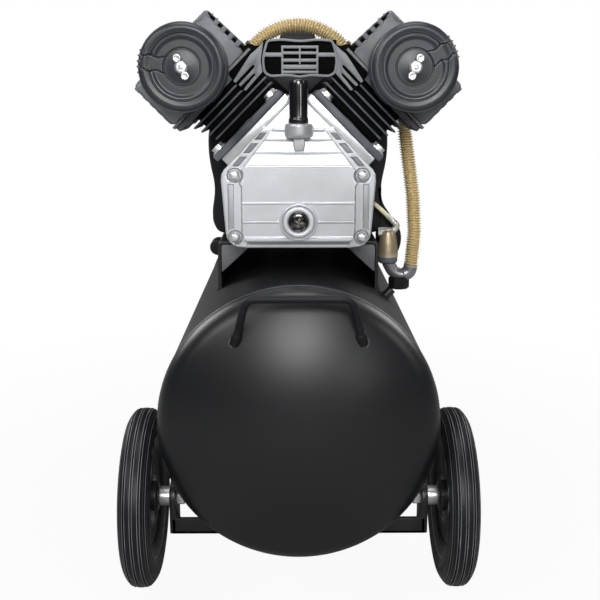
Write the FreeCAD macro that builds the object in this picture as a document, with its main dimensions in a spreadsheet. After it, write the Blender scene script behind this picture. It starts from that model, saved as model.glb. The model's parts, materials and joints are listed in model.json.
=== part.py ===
# Portable V-twin air compressor: a horizontal air tank on two wheels and two rubber feet, with a
# direct-driven two-cylinder pump, its motor and its air controls on a saddle on top of the tank.
# Millimetres, +Z up, the pump's cover faces -Y.  Origin: on the floor, under the middle of the tank.
import FreeCAD, Part
import math
import os
import re

import Sketcher
from FreeCAD import Placement, Rotation, Vector

# Driving dimensions: alias, value in mm, what it is.
SIZES = [
    ("tank_radius", 150, "outside radius of the tank"),
    ("tank_wall", 3, "thickness of the tank's steel"),
    ("shell_half", 317, "half the length of the rolled shell"),
    ("dome_depth", 60, "depth of each dished end"),
    ("dome_crown", 300, "crown radius of a dished end"),
    ("dome_knuckle", 30, "knuckle radius of a dished end"),
    ("tank_height", 205, "height of the tank's axis above the floor"),
    ("bung_radius", 13, "outside radius of a welded bung"),
    ("port_radius", 8, "radius of a bung's threaded hole"),
    ("handle_rod", 4, "radius of a carrying handle's rod"),
    ("handle_foot", 64, "half distance between a handle's feet"),
    ("handle_grip", 52, "half distance between a handle's corners"),
    ("handle_rise", 352, "height of a handle's bar above the floor"),
    ("handle_reach", 368, "distance of a handle's bar from the middle"),
    ("wheel_radius", 100, "outside radius of a tyre"),
    ("wheel_place", -267, "distance of the axle from the middle of the tank"),
    ("wheel_inner", 158, "distance of a tyre's inner face from the middle"),
    ("tyre_width", 33, "width of a tyre"),
    ("rim_radius", 68, "radius of a rim under its tyre"),
    ("axle_radius", 6, "radius of an axle bolt"),
    ("axle_play", 0.1, "running clearance of a wheel on its axle"),
    ("arm_low", 58, "underside of a wheel arm"),
    ("arm_high", 78, "top of a wheel arm"),
    ("arm_half", 20, "half width of a wheel arm along the tank"),
    ("foot_place", 250, "distance of the rubber feet from the middle"),
    ("foot_half", 72, "half distance between the rubber feet"),
    ("foot_rise", 22, "height of a rubber foot"),
    ("saddle_half", 93, "half width of the motor saddle"),
    ("saddle_top", 381, "height of the saddle's top face"),
    ("saddle_plate", 4, "thickness of the saddle's steel"),
    ("saddle_front", -192, "front edge of the saddle"),
    ("saddle_back", 150, "back edge of the saddle"),
    ("crank_height", 460, "height of the crankshaft and motor axis"),
    ("bank_place", -205, "where the cylinders stand along the machine"),
    ("case_front", -246, "front face of the crankcase"),
    ("case_back", -152, "back face of the crankcase"),
    ("case_half", 78, "half width of the crankcase"),
    ("case_low", -76, "underside of the crankcase below the crank axis"),
    ("deck", 72, "distance of a cylinder seat from the crank axis"),
    ("deck_lip", 11, "thickness of a cylinder seat flange"),
    ("cover_thick", 15, "depth of the crankcase cover"),
    ("cover_half", 83, "half width of the crankcase cover"),
    ("bore_radius", 25.5, "cylinder bore radius"),
    ("barrel_radius", 33, "outside radius of a cylinder barrel"),
    ("barrel_top", 128.6, "distance of a cylinder's top from the crank axis"),
    ("plate_thick", 3, "thickness of a valve plate"),
    ("head_top", 191, "distance of a head's top from the crank axis"),
    ("head_half", 58, "half width of a head"),
    ("head_deep", 42, "half depth of a head"),
    ("filter_side", 116.8, "distance of an air filter from the middle plane"),
    ("filter_height", 573, "height of an air filter's centre"),
    ("filter_radius", 44.5, "outside radius of an air filter"),
    ("filter_front", -295, "front face of an air filter"),
    ("crank_throw", 21, "crankpin offset, half the stroke"),
    ("rod_length", 90, "distance between a connecting rod's eyes"),
    ("shaft_radius", 12, "radius of the crankshaft and motor shaft"),
    ("bearing_radius", 23, "outside radius of a ball bearing"),
    ("shaft_play", 0.05, "radial running clearance of a shaft"),
    ("shroud_front", -149, "front face of the fan shroud"),
    ("shroud_back", -95, "back edge of the fan shroud"),
    ("fan_radius", 74, "radius of the cooling fan"),
    ("motor_radius", 75, "outside radius of the motor"),
    ("motor_front", -94, "front of the motor's frame"),
    ("motor_back", 118, "back of the motor's frame"),
    ("cowl_back", 160, "back of the motor's fan cowl"),
    ("control_place", 215, "where the controls stand along the machine"),
    ("gauge_radius", 20, "outside radius of a pressure gauge"),
    ("valve_side", 121, "distance of the check valve from the middle plane"),
    ("valve_place", -167, "where the check valve stands along the machine"),
    ("pipe_radius", 6.75, "outside radius of a finned air pipe"),
    ("pipe_bore", 4.5, "bore radius of a finned air pipe"),
]
ALIASES = {alias for alias, value, note in SIZES}
WORD = re.compile(r"[a-z][a-z_0-9]*")

UPRIGHT = Rotation()
TO_FRONT = Rotation(Vector(1, 0, 0), 90)
TO_BACK = Rotation(Vector(1, 0, 0), -90)
TO_RIGHT = Rotation(Vector(0, 1, 0), 90)
TO_LEFT = Rotation(Vector(0, 1, 0), -90)
DOWNWARD = Rotation(Vector(1, 0, 0), 180)
BANK_LEAN = 45
SIDES = (("left", -1), ("right", 1))

doc = FreeCAD.newDocument("AirCompressor")
sheet = doc.addObject("Spreadsheet::Sheet", "Sheet")
nodes = {}


# ---------------------------------------------------------------- helpers
def fill_sheet():
    """Write the driving dimensions into the sheet, one row each."""
    for row, (alias, value, note) in enumerate(SIZES, 1):
        sheet.set(f"A{row}", note)
        sheet.set(f"B{row}", str(value))
        sheet.setAlias(f"B{row}", alias)
    doc.recompute()


def linked(text):
    """Turn the aliases in an expression into references to the sheet."""
    return WORD.sub(lambda word: "Sheet." + word.group() if word.group() in ALIASES else word.group(),
                    str(text))


def number(text):
    """Value of an expression now, for shapes that are made in code."""
    return float(sheet.evalExpression(linked(text)))


def point(at):
    """Vector of three expressions."""
    return Vector(*(number(text) for text in at))


def node(name, thing):
    """Keep a finished sub-part under its own name."""
    thing.Label = name
    nodes[name] = thing


def place(thing, at, turn=UPRIGHT):
    """Turn a thing about the origin, then bind its place to three expressions."""
    thing.Placement = Placement(Vector(), turn)
    for side, text in zip("xyz", at):
        thing.setExpression("Placement.Base." + side, linked(text))
    return thing


def rod(name, radius, length, at=(0, 0, 0), turn=UPRIGHT):
    """Round bar from a point along the turned Z axis."""
    bar = doc.addObject("Part::Cylinder", name)
    bar.setExpression("Radius", linked(radius))
    bar.setExpression("Height", linked(length))
    return place(bar, at, turn)


def hexagon(name, radius, length, at=(0, 0, 0), turn=UPRIGHT):
    """Six-sided bar; the radius is to its corners."""
    bar = doc.addObject("Part::Prism", name)
    bar.Polygon = 6
    bar.setExpression("Circumradius", linked(radius))
    bar.setExpression("Height", linked(length))
    return place(bar, at, turn)


def block(name, low, high, at=(0, 0, 0), turn=UPRIGHT):
    """Box between two corners, in a frame that is turned and put at a point."""
    box = doc.addObject("Part::Box", name)
    for side, first, last in zip(("Length", "Width", "Height"), low, high):
        box.setExpression(side, linked(f"({last}) - ({first})"))
    if turn.isSame(UPRIGHT, 1e-9):
        return place(box, [f"({base}) + ({first})" for base, first in zip(at, low)])
    place(box, low)
    return turned_group(name + "_placed", [box], at, turn)


def turned_group(name, things, at, turn):
    """One object that carries several things, turned and put at a point."""
    group = doc.addObject("Part::Compound", name)
    group.Links = things
    return place(group, at, turn)


def gather(name, things):
    """Group of separate solids."""
    group = doc.addObject("Part::Compound", name)
    group.Links = things
    return group


def join(name, things):
    """One solid from several that touch or overlap."""
    whole = doc.addObject("Part::MultiFuse", name)
    whole.Shapes = things
    whole.Refine = True
    return whole


def carve(name, base, tools):
    """A solid with one or more others taken out of it."""
    rest = doc.addObject("Part::Cut", name)
    rest.Base = base
    rest.Tool = tools[0] if len(tools) == 1 else join(name + "_tools", tools)
    return rest


def soften(name, base, radius, chosen):
    """Fillet the edges of a thing for which chosen(edge) is true."""
    doc.recompute()
    smooth = doc.addObject("Part::Fillet", name)
    smooth.Base = base
    size = number(radius)
    smooth.Edges = [(index, size, size) for index, edge in enumerate(base.Shape.Edges, 1) if chosen(edge)]
    return smooth


def runs_along(direction):
    """Test for straight edges that run along a direction."""
    def test(edge):
        if not isinstance(edge.Curve, Part.Line):
            return False
        return abs(edge.tangentAt(edge.FirstParameter).dot(direction)) > 0.999
    return test


def arc_between(start, end, radius):
    """Minor arc in a sketch; a positive radius has its centre on the left of the way from start to end."""
    way = end - start
    side = math.copysign(1, radius)
    left = Vector(-way.y, way.x, 0).normalize()
    reach = math.sqrt(radius ** 2 - (way.Length / 2) ** 2)
    centre = (start + end) * 0.5 + left * side * reach
    first, last = (start, end) if side > 0 else (end, start)
    angles = [math.atan2(spot.y - centre.y, spot.x - centre.x) for spot in (first, last)]
    return Part.ArcOfCircle(Part.Circle(centre, Vector(0, 0, 1), abs(radius)), *angles)


def draw(sketch, outline):
    """Closed outline in a sketch, each corner bound to the sheet.

    A corner is (across, up), or (across, up, radius) where an arc leads to the next corner.
    """
    spots = [Vector(number(corner[0]), number(corner[1]), 0) for corner in outline]
    first = sketch.GeometryCount
    ends = []
    for index, corner in enumerate(outline):
        start, end = spots[index], spots[(index + 1) % len(spots)]
        if len(corner) == 2:
            sketch.addGeometry(Part.LineSegment(start, end), False)
            ends.append((1, 2))
        else:
            radius = number(corner[2])
            sketch.addGeometry(arc_between(start, end, radius), False)
            ends.append((1, 2) if radius > 0 else (2, 1))
            sketch.addConstraint(Sketcher.Constraint("Radius", first + index, abs(radius)))
            sketch.setExpression(f"Constraints[{sketch.ConstraintCount - 1}]", linked(f"abs({corner[2]})"))
    for index, corner in enumerate(outline):
        after = (index + 1) % len(outline)
        sketch.addConstraint(Sketcher.Constraint(
            "Coincident", first + index, ends[index][1], first + after, ends[after][0]))
        for kind, text, value in (("DistanceX", corner[0], spots[index].x),
                                  ("DistanceY", corner[1], spots[index].y)):
            sketch.addConstraint(Sketcher.Constraint(
                kind, -1, 1, first + index, ends[index][0], value))
            sketch.setExpression(f"Constraints[{sketch.ConstraintCount - 1}]", linked(text))


def sketched(name, plane, outlines):
    """Body with one sketch of closed outlines on one of its own origin planes."""
    body = doc.addObject("PartDesign::Body", name)
    sketch = body.newObject("Sketcher::SketchObject", name + "_sketch")
    support = [feature for feature in body.Origin.OriginFeatures if feature.Role == plane][0]
    sketch.AttachmentSupport = [(support, "")]
    sketch.MapMode = "FlatFace"
    for outline in outlines:
        draw(sketch, outline)
    return body, sketch


def turned(name, profile, at=(0, 0, 0), turn=UPRIGHT):
    """Solid of revolution; the profile is (radius, height) about the turned Z axis."""
    body, sketch = sketched(name, "XZ_Plane", [profile])
    spin = body.newObject("PartDesign::Revolution", name + "_turned")
    spin.Profile = sketch
    spin.ReferenceAxis = (sketch, ["V_Axis"])
    spin.Angle = 360
    return place(body, at, turn)


def padded(name, outlines, depth, at=(0, 0, 0)):
    """Plate drawn in the front view (across, up) that runs backwards from a point."""
    body, sketch = sketched(name, "XZ_Plane", outlines)
    pad = body.newObject("PartDesign::Pad", name + "_pad")
    pad.Profile = sketch
    pad.setExpression("Length", linked(depth))
    pad.Reversed = True
    return place(body, at)


def mirrored(outline):
    """Full outline from its right half, listed from the bottom to the top."""
    return list(outline) + [(f"-({across})", up) for across, up in reversed(outline)]


def routed(name, route, radius, bore):
    """Tube along straight runs joined by tangent arcs; a middle stop is (x, y, z, bend radius)."""
    stops = [point(stop[:3]) for stop in route]
    edges = []
    here = stops[0]
    for index in range(1, len(stops) - 1):
        corner = stops[index]
        back = (stops[index - 1] - corner).normalize()
        ahead = (stops[index + 1] - corner).normalize()
        half_gap = back.getAngle(ahead) / 2
        bend = number(route[index][3])
        reach = bend / math.tan(half_gap)
        first, last = corner + back * reach, corner + ahead * reach
        middle_line = (back + ahead).normalize()
        middle = corner + middle_line * (bend / math.sin(half_gap) - bend)
        edges += [Part.LineSegment(here, first).toShape(), Part.Arc(first, middle, last).toShape()]
        here = last
    edges.append(Part.LineSegment(here, stops[-1]).toShape())
    spine = Part.Wire(edges)
    start_way = stops[1] - stops[0]

    def swept(size):
        ring = Part.Wire([Part.Circle(stops[0], start_way, size).toShape()])
        return spine.makePipeShell([ring], True, True)

    tube = doc.addObject("Part::Feature", name)
    outside = swept(number(radius))
    tube.Shape = outside if bore is None else outside.cut(swept(number(bore)))
    return tube


fill_sheet()
tank_envelope = rod("tank_envelope", "tank_radius", "2 * shell_half",
                    (0, "-shell_half", "tank_height"), TO_BACK)


# ---------------------------------------------------------------- tank
def make_tank():
    """Rolled shell with welded bungs, closed by two dished ends."""
    bungs = [
        rod("valve_bung", "bung_radius", 40, ("valve_side", "valve_place", 278)),
        rod("control_bung", "bung_radius", 14, (0, "control_place", 346)),
        rod("drain_bung", "bung_radius", 14, (0, "control_place - 35", 46)),
    ]
    ports = [
        rod("valve_port", "port_radius", 60, ("valve_side", "valve_place", 270)),
        rod("control_port", "port_radius", 30, (0, "control_place", 340)),
        rod("drain_port", "port_radius", 30, (0, "control_place - 35", 40)),
    ]
    inside = rod("tank_inside", "tank_radius - tank_wall", "2 * shell_half",
                 (0, "-shell_half", "tank_height"), TO_BACK)
    node("tank_shell", carve("shell_bored", join("shell_with_bungs", [tank_envelope] + bungs),
                             [inside] + ports))
    # A dished end in section: flat-ish crown, then a tight knuckle that meets the shell.
    span = number("tank_radius") - number("dome_knuckle")
    crown = number("dome_crown")
    knuckle = number("dome_knuckle")
    lean = math.asin(span / (crown - knuckle))
    rise = (crown - knuckle) * math.cos(lean)
    depth = crown - rise
    meet = (crown * math.sin(lean), crown * math.cos(lean) - rise)
    for name, turn, sign in (("front_tank_head", TO_FRONT, "-"), ("rear_tank_head", TO_BACK, "")):
        wall = number("tank_wall")
        skirt = number("dome_depth") - depth
        profile = [
            ("tank_radius - tank_wall", 0),
            ("tank_radius", 0),
            ("tank_radius", skirt, "dome_knuckle"),
            (meet[0], meet[1] + skirt, "dome_crown"),
            (0, "dome_depth"),
            (0, "dome_depth - tank_wall", "-(dome_crown - tank_wall)"),
            (meet[0] - wall * math.sin(lean), meet[1] + skirt - wall * math.cos(lean),
             "-(dome_knuckle - tank_wall)"),
            ("tank_radius - tank_wall", skirt),
        ]
        node(name, turned(name, profile, (0, f"{sign}shell_half", "tank_height"), turn))


def make_handles():
    """Bent-rod carrying handles welded to the dished ends through short sleeves."""
    both = []
    for end, sign in (("front", "-"), ("rear", "")):
        foot = (f"{sign}(handle_reach - 17)", "handle_rise - 49")
        bar = (f"{sign}handle_reach", "handle_rise")
        bend = routed(f"{end}_handle_rod", [
            ("-handle_foot", foot[0], foot[1]),
            ("-handle_grip", bar[0], bar[1], 11),
            ("handle_grip", bar[0], bar[1], 11),
            ("handle_foot", foot[0], foot[1]),
        ], "handle_rod", None)
        sleeves = [routed(f"{end}_sleeve_{side}", [
            (f"{way} * handle_foot", foot[0], foot[1]),
            (f"{way} * (handle_foot - 3.4)", f"({foot[0]}) * 0.72 + ({bar[0]}) * 0.28",
             f"({foot[1]}) * 0.72 + ({bar[1]}) * 0.28"),
        ], "handle_rod + 1.5", None) for side, way in SIDES]
        crown = doc.addObject("Part::Sphere", f"{end}_crown")
        crown.setExpression("Radius", linked("dome_crown"))
        place(crown, (0, f"{sign}(shell_half + dome_depth - dome_crown)", "tank_height"))
        both.append(carve(f"{end}_handle", join(f"{end}_handle_whole", [bend] + sleeves), [crown]))
    node("carry_handles", gather("handle_pair", both))


# ---------------------------------------------------------------- running gear
def make_wheel(side, way):
    """Plastic rim with windows, and its rubber tyre, on the axle's line."""
    turn = TO_RIGHT if way > 0 else TO_LEFT
    centre = (f"{way} * wheel_inner", "wheel_place", "wheel_radius")
    rim = turned(f"{side}_rim_turned", [
        ("axle_radius + axle_play", 1),
        (17, 1),
        (17, 12),
        ("rim_radius - 14", 15),
        ("rim_radius - 8", 6),
        ("rim_radius", 3),
        ("rim_radius", "tyre_width - 3"),
        ("rim_radius - 8", "tyre_width - 6"),
        ("rim_radius - 14", 19),
        (17, 18),
        (17, 26),
        ("axle_radius + axle_play", 26),
    ], centre, turn)
    windows = []
    for index in range(6):
        angle = math.radians(30 + 60 * index)
        windows.append(rod(f"{side}_window_{index}", 11, 60, (
            f"{way} * (wheel_inner - 10)",
            f"wheel_place + 36 * {math.cos(angle):.6f}",
            f"wheel_radius + 36 * {math.sin(angle):.6f}"), turn))
    node(f"{side}_rim", carve(f"{side}_rim_cut", rim, windows))
    node(f"{side}_tyre", turned(f"{side}_tyre", [
        ("rim_radius", 3),
        ("rim_radius + 6", 0),
        ("wheel_radius - 12", 0, "12"),
        ("wheel_radius", 11),
        ("wheel_radius", "tyre_width - 11", "12"),
        ("wheel_radius - 12", "tyre_width"),
        ("rim_radius + 6", "tyre_width"),
        ("rim_radius", "tyre_width - 3"),
    ], centre, turn))


def make_axles():
    """Arms welded to the tank, and the bolts, spacers and nuts that carry the wheels."""
    arms, bolts, fittings = [], [], []
    for side, way in SIDES:
        turn = TO_RIGHT if way > 0 else TO_LEFT
        line = ("wheel_place", "wheel_radius")

        def across(low, high):
            return (low, high) if way > 0 else (f"-({high})", f"-({low})")

        arm_span = across(40, 143)
        ear_span = across(138, 145)
        arm = block(f"{side}_arm_bar", (arm_span[0], "wheel_place - arm_half", "arm_low"),
                    (arm_span[1], "wheel_place + arm_half", "arm_high"))
        ear = block(f"{side}_ear", (ear_span[0], "wheel_place - arm_half", "arm_low"),
                    (ear_span[1], "wheel_place + arm_half", "wheel_radius"))
        top = rod(f"{side}_ear_top", "arm_half", 7, (f"{way} * 138", *line), turn)
        hole = rod(f"{side}_ear_hole", "axle_radius + 0.2", 30, (f"{way} * 125", *line), turn)
        whole = join(f"{side}_arm_whole", [arm, ear, top])
        arms.append(carve(f"{side}_arm", whole, [tank_envelope, hole]))
        shank = rod(f"{side}_shank", "axle_radius", 57, (f"{way} * 128", *line), turn)
        cap = hexagon(f"{side}_bolt_cap", 11, 6, (f"{way} * 184.4", *line), turn)
        bolts.append(join(f"{side}_axle_bolt", [shank, cap]))
        fittings.append(turned(f"{side}_spacer", [
            ("axle_radius + 0.1", 0), (11, 0), (11, 13.5), ("axle_radius + 0.1", 13.5),
        ], (f"{way} * 145", *line), turn))
        fittings.append(carve(f"{side}_nut", hexagon(f"{side}_nut_bar", 10.5, 8, (f"{way} * 130", *line), turn),
                              [rod(f"{side}_nut_hole", "axle_radius", 12, (f"{way} * 128", *line), turn)]))
    node("wheel_brackets", gather("arm_pair", arms))
    node("axle_hardware", gather("axle_set", bolts + fittings))


def make_feet():
    """Steel strap under the back of the tank on two rubber feet."""
    strap_half = "foot_half + 20"
    base = block("strap_base", (f"-({strap_half})", "foot_place - 16", "foot_rise"),
                 (strap_half, "foot_place + 16", "foot_rise + 4"))
    uprights = [block(f"strap_upright_{side}",
                      (f"{way} * (foot_half + 18) - 2", "foot_place - 16", "foot_rise"),
                      (f"{way} * (foot_half + 18) + 2", "foot_place + 16", "foot_rise + 80"))
                for side, way in SIDES]
    holes = [rod(f"strap_hole_{side}", 4.2, 10, (f"{way} * foot_half", "foot_place", "foot_rise - 2"))
             for side, way in SIDES]
    node("rear_foot_frame", carve("strap", join("strap_whole", [base] + uprights),
                                  [tank_envelope] + holes))
    feet = [turned(f"rubber_foot_{side}", [
        (0, 0), (17, 0), (19, 3), (15, "foot_rise"), (4, "foot_rise"), (4, "foot_rise + 8"), (0, "foot_rise + 8"),
    ], (f"{way} * foot_half", "foot_place", 0)) for side, way in SIDES]
    node("rubber_feet", gather("foot_pair", feet))


def make_drain():
    """Drain valve in the lowest bung, with the knob that opens it."""
    at = (0, "control_place - 35", 46)
    node("drain_valve", turned("drain_valve", [
        (3, -8), (7.9, -8), (7.9, 0), (10, 0), (10, 6), (6, 8), (6, 15), (3, 15),
    ], at, DOWNWARD))
    node("drain_knob", turned("drain_knob", [
        (0, 15.4), (9, 15.4), (11, 17.4), (11, 25), (9, 27), (0, 27),
    ], at, DOWNWARD))


# ---------------------------------------------------------------- saddle
def make_saddle():
    """Folded steel channel, open below, that carries the pump and motor."""
    plate = block("saddle_plate_bar", ("-saddle_half", "saddle_front", "saddle_top - saddle_plate"),
                  ("saddle_half", "saddle_back", "saddle_top"))
    walls = [block(f"saddle_wall_{side}",
                   (f"{way} * (saddle_half - saddle_plate / 2) - saddle_plate / 2", "saddle_front", 300),
                   (f"{way} * (saddle_half - saddle_plate / 2) + saddle_plate / 2", "saddle_back",
                    "saddle_top - 1"))
             for side, way in SIDES]
    whole = join("saddle_whole", [plate] + walls)
    cut = carve("saddle_cut", whole, [tank_envelope])
    node("motor_saddle", cut)


# ---------------------------------------------------------------- pump
def seat(across, out):
    """Point of the left bank, from its place across and out from the crank axis, as (x, z) numbers."""
    lean = math.radians(BANK_LEAN)
    return (across - out) * math.sin(lean), (across + out) * math.cos(lean)


def bank_turn(way):
    """Turn of a cylinder bank, leaning out to its side."""
    return Rotation(Vector(0, 1, 0), BANK_LEAN * way)


def on_bank(name, things, way):
    """Carry things made about the crank axis onto a leaning bank."""
    return turned_group(name, things, (0, "bank_place", "crank_height"), bank_turn(way))


BOLT_SPOTS = [(across, deep) for across in (-39.5, 39.5) for deep in (-35, 35)]
HEAD_BOLT_SPOTS = [(across, deep) for across in (-48, 48) for deep in (-32, 32)]
COVER_SCREWS = [(-68.5, 2), (68.5, 2), (-68.5, -65), (68.5, -65)]


def case_outline():
    """Front view of the crankcase, about the crank axis: a box under two leaning cylinder seats."""
    deck = number("deck")
    lip = deck - number("deck_lip")
    low_inner, low_outer, high_outer = seat(-45, lip), seat(-45, deck), seat(52, deck)
    right = [(68, "case_low"), ("case_half", "case_low + 12"), ("case_half", 6)]
    right += [(-across, up) for across, up in (low_inner, low_outer, high_outer)]
    right += [(-high_outer[0], high_outer[1] - 10)]
    return mirrored(right)


def make_crankcase():
    """Cast crankcase with a crank chamber, two cylinder seats and a bearing wall at the back."""
    body = padded("case_body", [case_outline()], "case_back - case_front", (0, "case_front", "crank_height"))
    feet = block("case_feet", (-62, -190, "saddle_top"), (62, "case_back", "crank_height + case_low + 2"))
    chamber = rod("case_chamber", 52, "case_back - case_front - 13", (0, "case_front", "crank_height"), TO_BACK)
    sump = block("case_sump", (-60, "case_front", "crank_height + case_low + 8"),
                 (60, "case_back - 13", "crank_height - 20"))
    bearing = rod("case_bearing_bore", "bearing_radius", 40, (0, "case_back - 30", "crank_height"), TO_BACK)
    mouths = [on_bank(f"case_mouth_{side}", [rod(f"case_mouth_bar_{side}", 28.2, 50, (0, 0, 35))], way)
              for side, way in SIDES]
    taps = [on_bank(f"case_tap_{side}_{index}", [
        rod(f"case_tap_bar_{side}_{index}", 4, 30, (across, deep, "deck - 14"))], way)
        for side, way in SIDES for index, (across, deep) in enumerate(BOLT_SPOTS)]
    screw_taps = [rod(f"case_screw_tap_{index}", 3, 14, (across, "case_front - 1", f"crank_height + {up}"), TO_BACK)
                  for index, (across, up) in enumerate(COVER_SCREWS)]
    hollow = carve("case_hollow", join("case_solid", [body, feet]), [chamber, sump])
    bored = carve("case_bored", carve("case_mouthed", hollow, mouths), [bearing])
    node("crankcase", carve("case_tapped", bored, taps + screw_taps))


def cover_outline(inset):
    """Front view of the cover about the crank axis, drawn in by an inset."""
    return mirrored([
        (67 - inset, -76 + inset), (78 - inset, -70 + inset), (f"cover_half - {inset}", -4),
        (81 - inset, 7), (38 - inset, 52 - inset),
    ])


def make_cover():
    """Cast front cover with a raised panel, sight glass boss and breather boss, and its screws."""
    rim_depth = 8
    flange = padded("cover_flange", [cover_outline(0)], rim_depth,
                    (0, f"case_front - {rim_depth} - 0.6", "crank_height"))
    panel = padded("cover_panel", [mirrored([
        (54, -70), (60, -64), (60, -10), (68, 0), (34, 40), (30, 44)])],
        "cover_thick", (0, "case_front - 0.6 - cover_thick", "crank_height"))
    sight_boss = rod("sight_boss", 18.5, 12, (0, "case_front - 18", "crank_height - 47"), TO_BACK)
    neck = rod("breather_neck", 14.5, 15, (0, "case_front - 15", "crank_height + 42"))
    hollow = padded("cover_hollow", [mirrored([
        (48, -64), (54, -58), (54, -12), (58, -2), (28, 34)])],
        "cover_thick - 5", (0, "case_front - 0.6 - cover_thick + 5", "crank_height"))
    backing = block("neck_backing", (-20, "case_front - 0.6", "crank_height + 30"),
                    (20, "case_front + 20", "crank_height + 70"))
    sight_bore = rod("sight_bore", 13, 9, (0, "case_front - 19", "crank_height - 47"), TO_BACK)
    neck_bore = rod("neck_bore", 8.1, 30, (0, "case_front - 15", "crank_height + 38"))
    screw_holes = [rod(f"cover_screw_hole_{index}", 3.3, 30,
                       (across, "case_front - 20", f"crank_height + {up}"), TO_BACK)
                   for index, (across, up) in enumerate(COVER_SCREWS)]
    wells = [rod(f"cover_screw_well_{index}", 7, 20,
                 (across, f"case_front - 0.6 - {rim_depth}", f"crank_height + {up}"), TO_FRONT)
             for index, (across, up) in enumerate(COVER_SCREWS)]
    solid = join("cover_solid", [flange, panel, sight_boss, neck])
    node("crankcase_cover", carve("cover_bored", solid,
                                  [hollow, backing, sight_bore, neck_bore] + screw_holes + wells))
    screws = []
    for index, (across, up) in enumerate(COVER_SCREWS):
        at = (across, f"case_front - 0.6 - {rim_depth}", f"crank_height + {up}")
        shank = rod(f"screw_shank_{index}", 3, 20, at, TO_BACK)
        cap = rod(f"screw_cap_{index}", 5.4, 5, at, TO_FRONT)
        socket = hexagon(f"screw_socket_{index}", 2.9, 3,
                         (at[0], f"case_front - 0.6 - {rim_depth} - 5.5", at[2]), TO_BACK)
        screws.append(carve(f"cover_screw_{index}", join(f"screw_whole_{index}", [shank, cap]), [socket]))
    node("cover_screws", gather("screw_set", screws))
    node("sight_glass", turned("sight_glass", [
        (0, 0), (13, 0), (13, 7), (10, 9), (9.5, 7), (0, 7),
    ], (0, "case_front - 10", "crank_height - 47"), TO_FRONT))
    node("oil_breather", turned("oil_breather", [
        (0, 44), (8, 44), (8, 57.2), (10.8, 57.2), (10.8, 61), (9.7, 62), (9.7, 99), (8, 102), (3, 102),
        (3, 98), (0, 98),
    ], (0, "case_front - 15", "crank_height")))


def make_cylinder(side, way):
    """Finned cylinder on its seat, with a spigot that locates it in the crankcase."""
    name = f"{side}_cylinder"
    flange = block(f"{name}_flange", (-50, -44, "deck + 0.1"), (50, 44, "deck + 8"))
    barrel = rod(f"{name}_barrel", "barrel_radius", "barrel_top - deck - 0.1", (0, 0, "deck + 0.1"))
    spigot = rod(f"{name}_spigot", 28, 13, (0, 0, "deck - 12"))
    top = block(f"{name}_top", ("-head_half + 2", -40, "barrel_top - 6"), ("head_half - 2", 40, "barrel_top"))
    fins = [block(f"{name}_fin_{index}", (-50, -40, f"deck + 17 + {index} * 8"),
                  (50, 40, f"deck + 19.4 + {index} * 8")) for index in range(5)]
    bore = rod(f"{name}_bore", "bore_radius", 90, (0, 0, "deck - 20"))
    holes = [rod(f"{name}_hole_{index}", 4.2, 12, (across, deep, "deck - 2"))
             for index, (across, deep) in enumerate(BOLT_SPOTS)]
    taps = [rod(f"{name}_tap_{index}", 4, 8, (across, deep, "barrel_top - 6.5"))
            for index, (across, deep) in enumerate(HEAD_BOLT_SPOTS)]
    solid = join(f"{name}_solid", [flange, barrel, spigot, top] + fins)
    node(name, on_bank(f"{name}_placed", [carve(f"{name}_cut", solid, [bore] + holes + taps)], way))


def make_head(side, way):
    """Cylinder head: a deep box with an inlet and an outlet chamber, open towards the valve plate."""
    name = f"{side}_head"
    box = block(f"{name}_box", ("-head_half", "-head_deep", "barrel_top + plate_thick"),
                ("head_half", "head_deep", "head_top"))
    smooth = soften(f"{name}_smooth", box, 5, lambda edge: edge.BoundBox.ZMax > number("barrel_top + 10"))
    low, high = sorted((-44 * -way, 13 * -way))
    inlet = block(f"{name}_inlet", (low, -26, "barrel_top"), (high, 26, "head_top - 10"))
    low, high = sorted((17 * -way, 44 * -way))
    outlet = block(f"{name}_outlet", (low, -26, "barrel_top"), (high, 26, "head_top - 10"))
    slope = math.sin(math.radians(BANK_LEAN))
    mouth = rod(f"{name}_mouth", 12.2, 30, (
        f"{-way * slope} * (filter_height - crank_height - filter_side)", -43,
        f"{slope} * (filter_height - crank_height + filter_side)"), TO_BACK)
    holes = [rod(f"{name}_hole_{index}", 4.2, 80, (across, deep, "barrel_top - 2"))
             for index, (across, deep) in enumerate(HEAD_BOLT_SPOTS)]
    wells = [rod(f"{name}_well_{index}", 8.5, 12, (across, deep, "head_top - 9"))
             for index, (across, deep) in enumerate(HEAD_BOLT_SPOTS)]
    hollow = carve(f"{name}_hollow", smooth, [inlet, outlet, mouth])
    drilled = carve(f"{name}_drilled", hollow, holes)
    node(name, on_bank(f"{name}_placed", [carve(f"{name}_cut", drilled, wells)], way))


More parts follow.
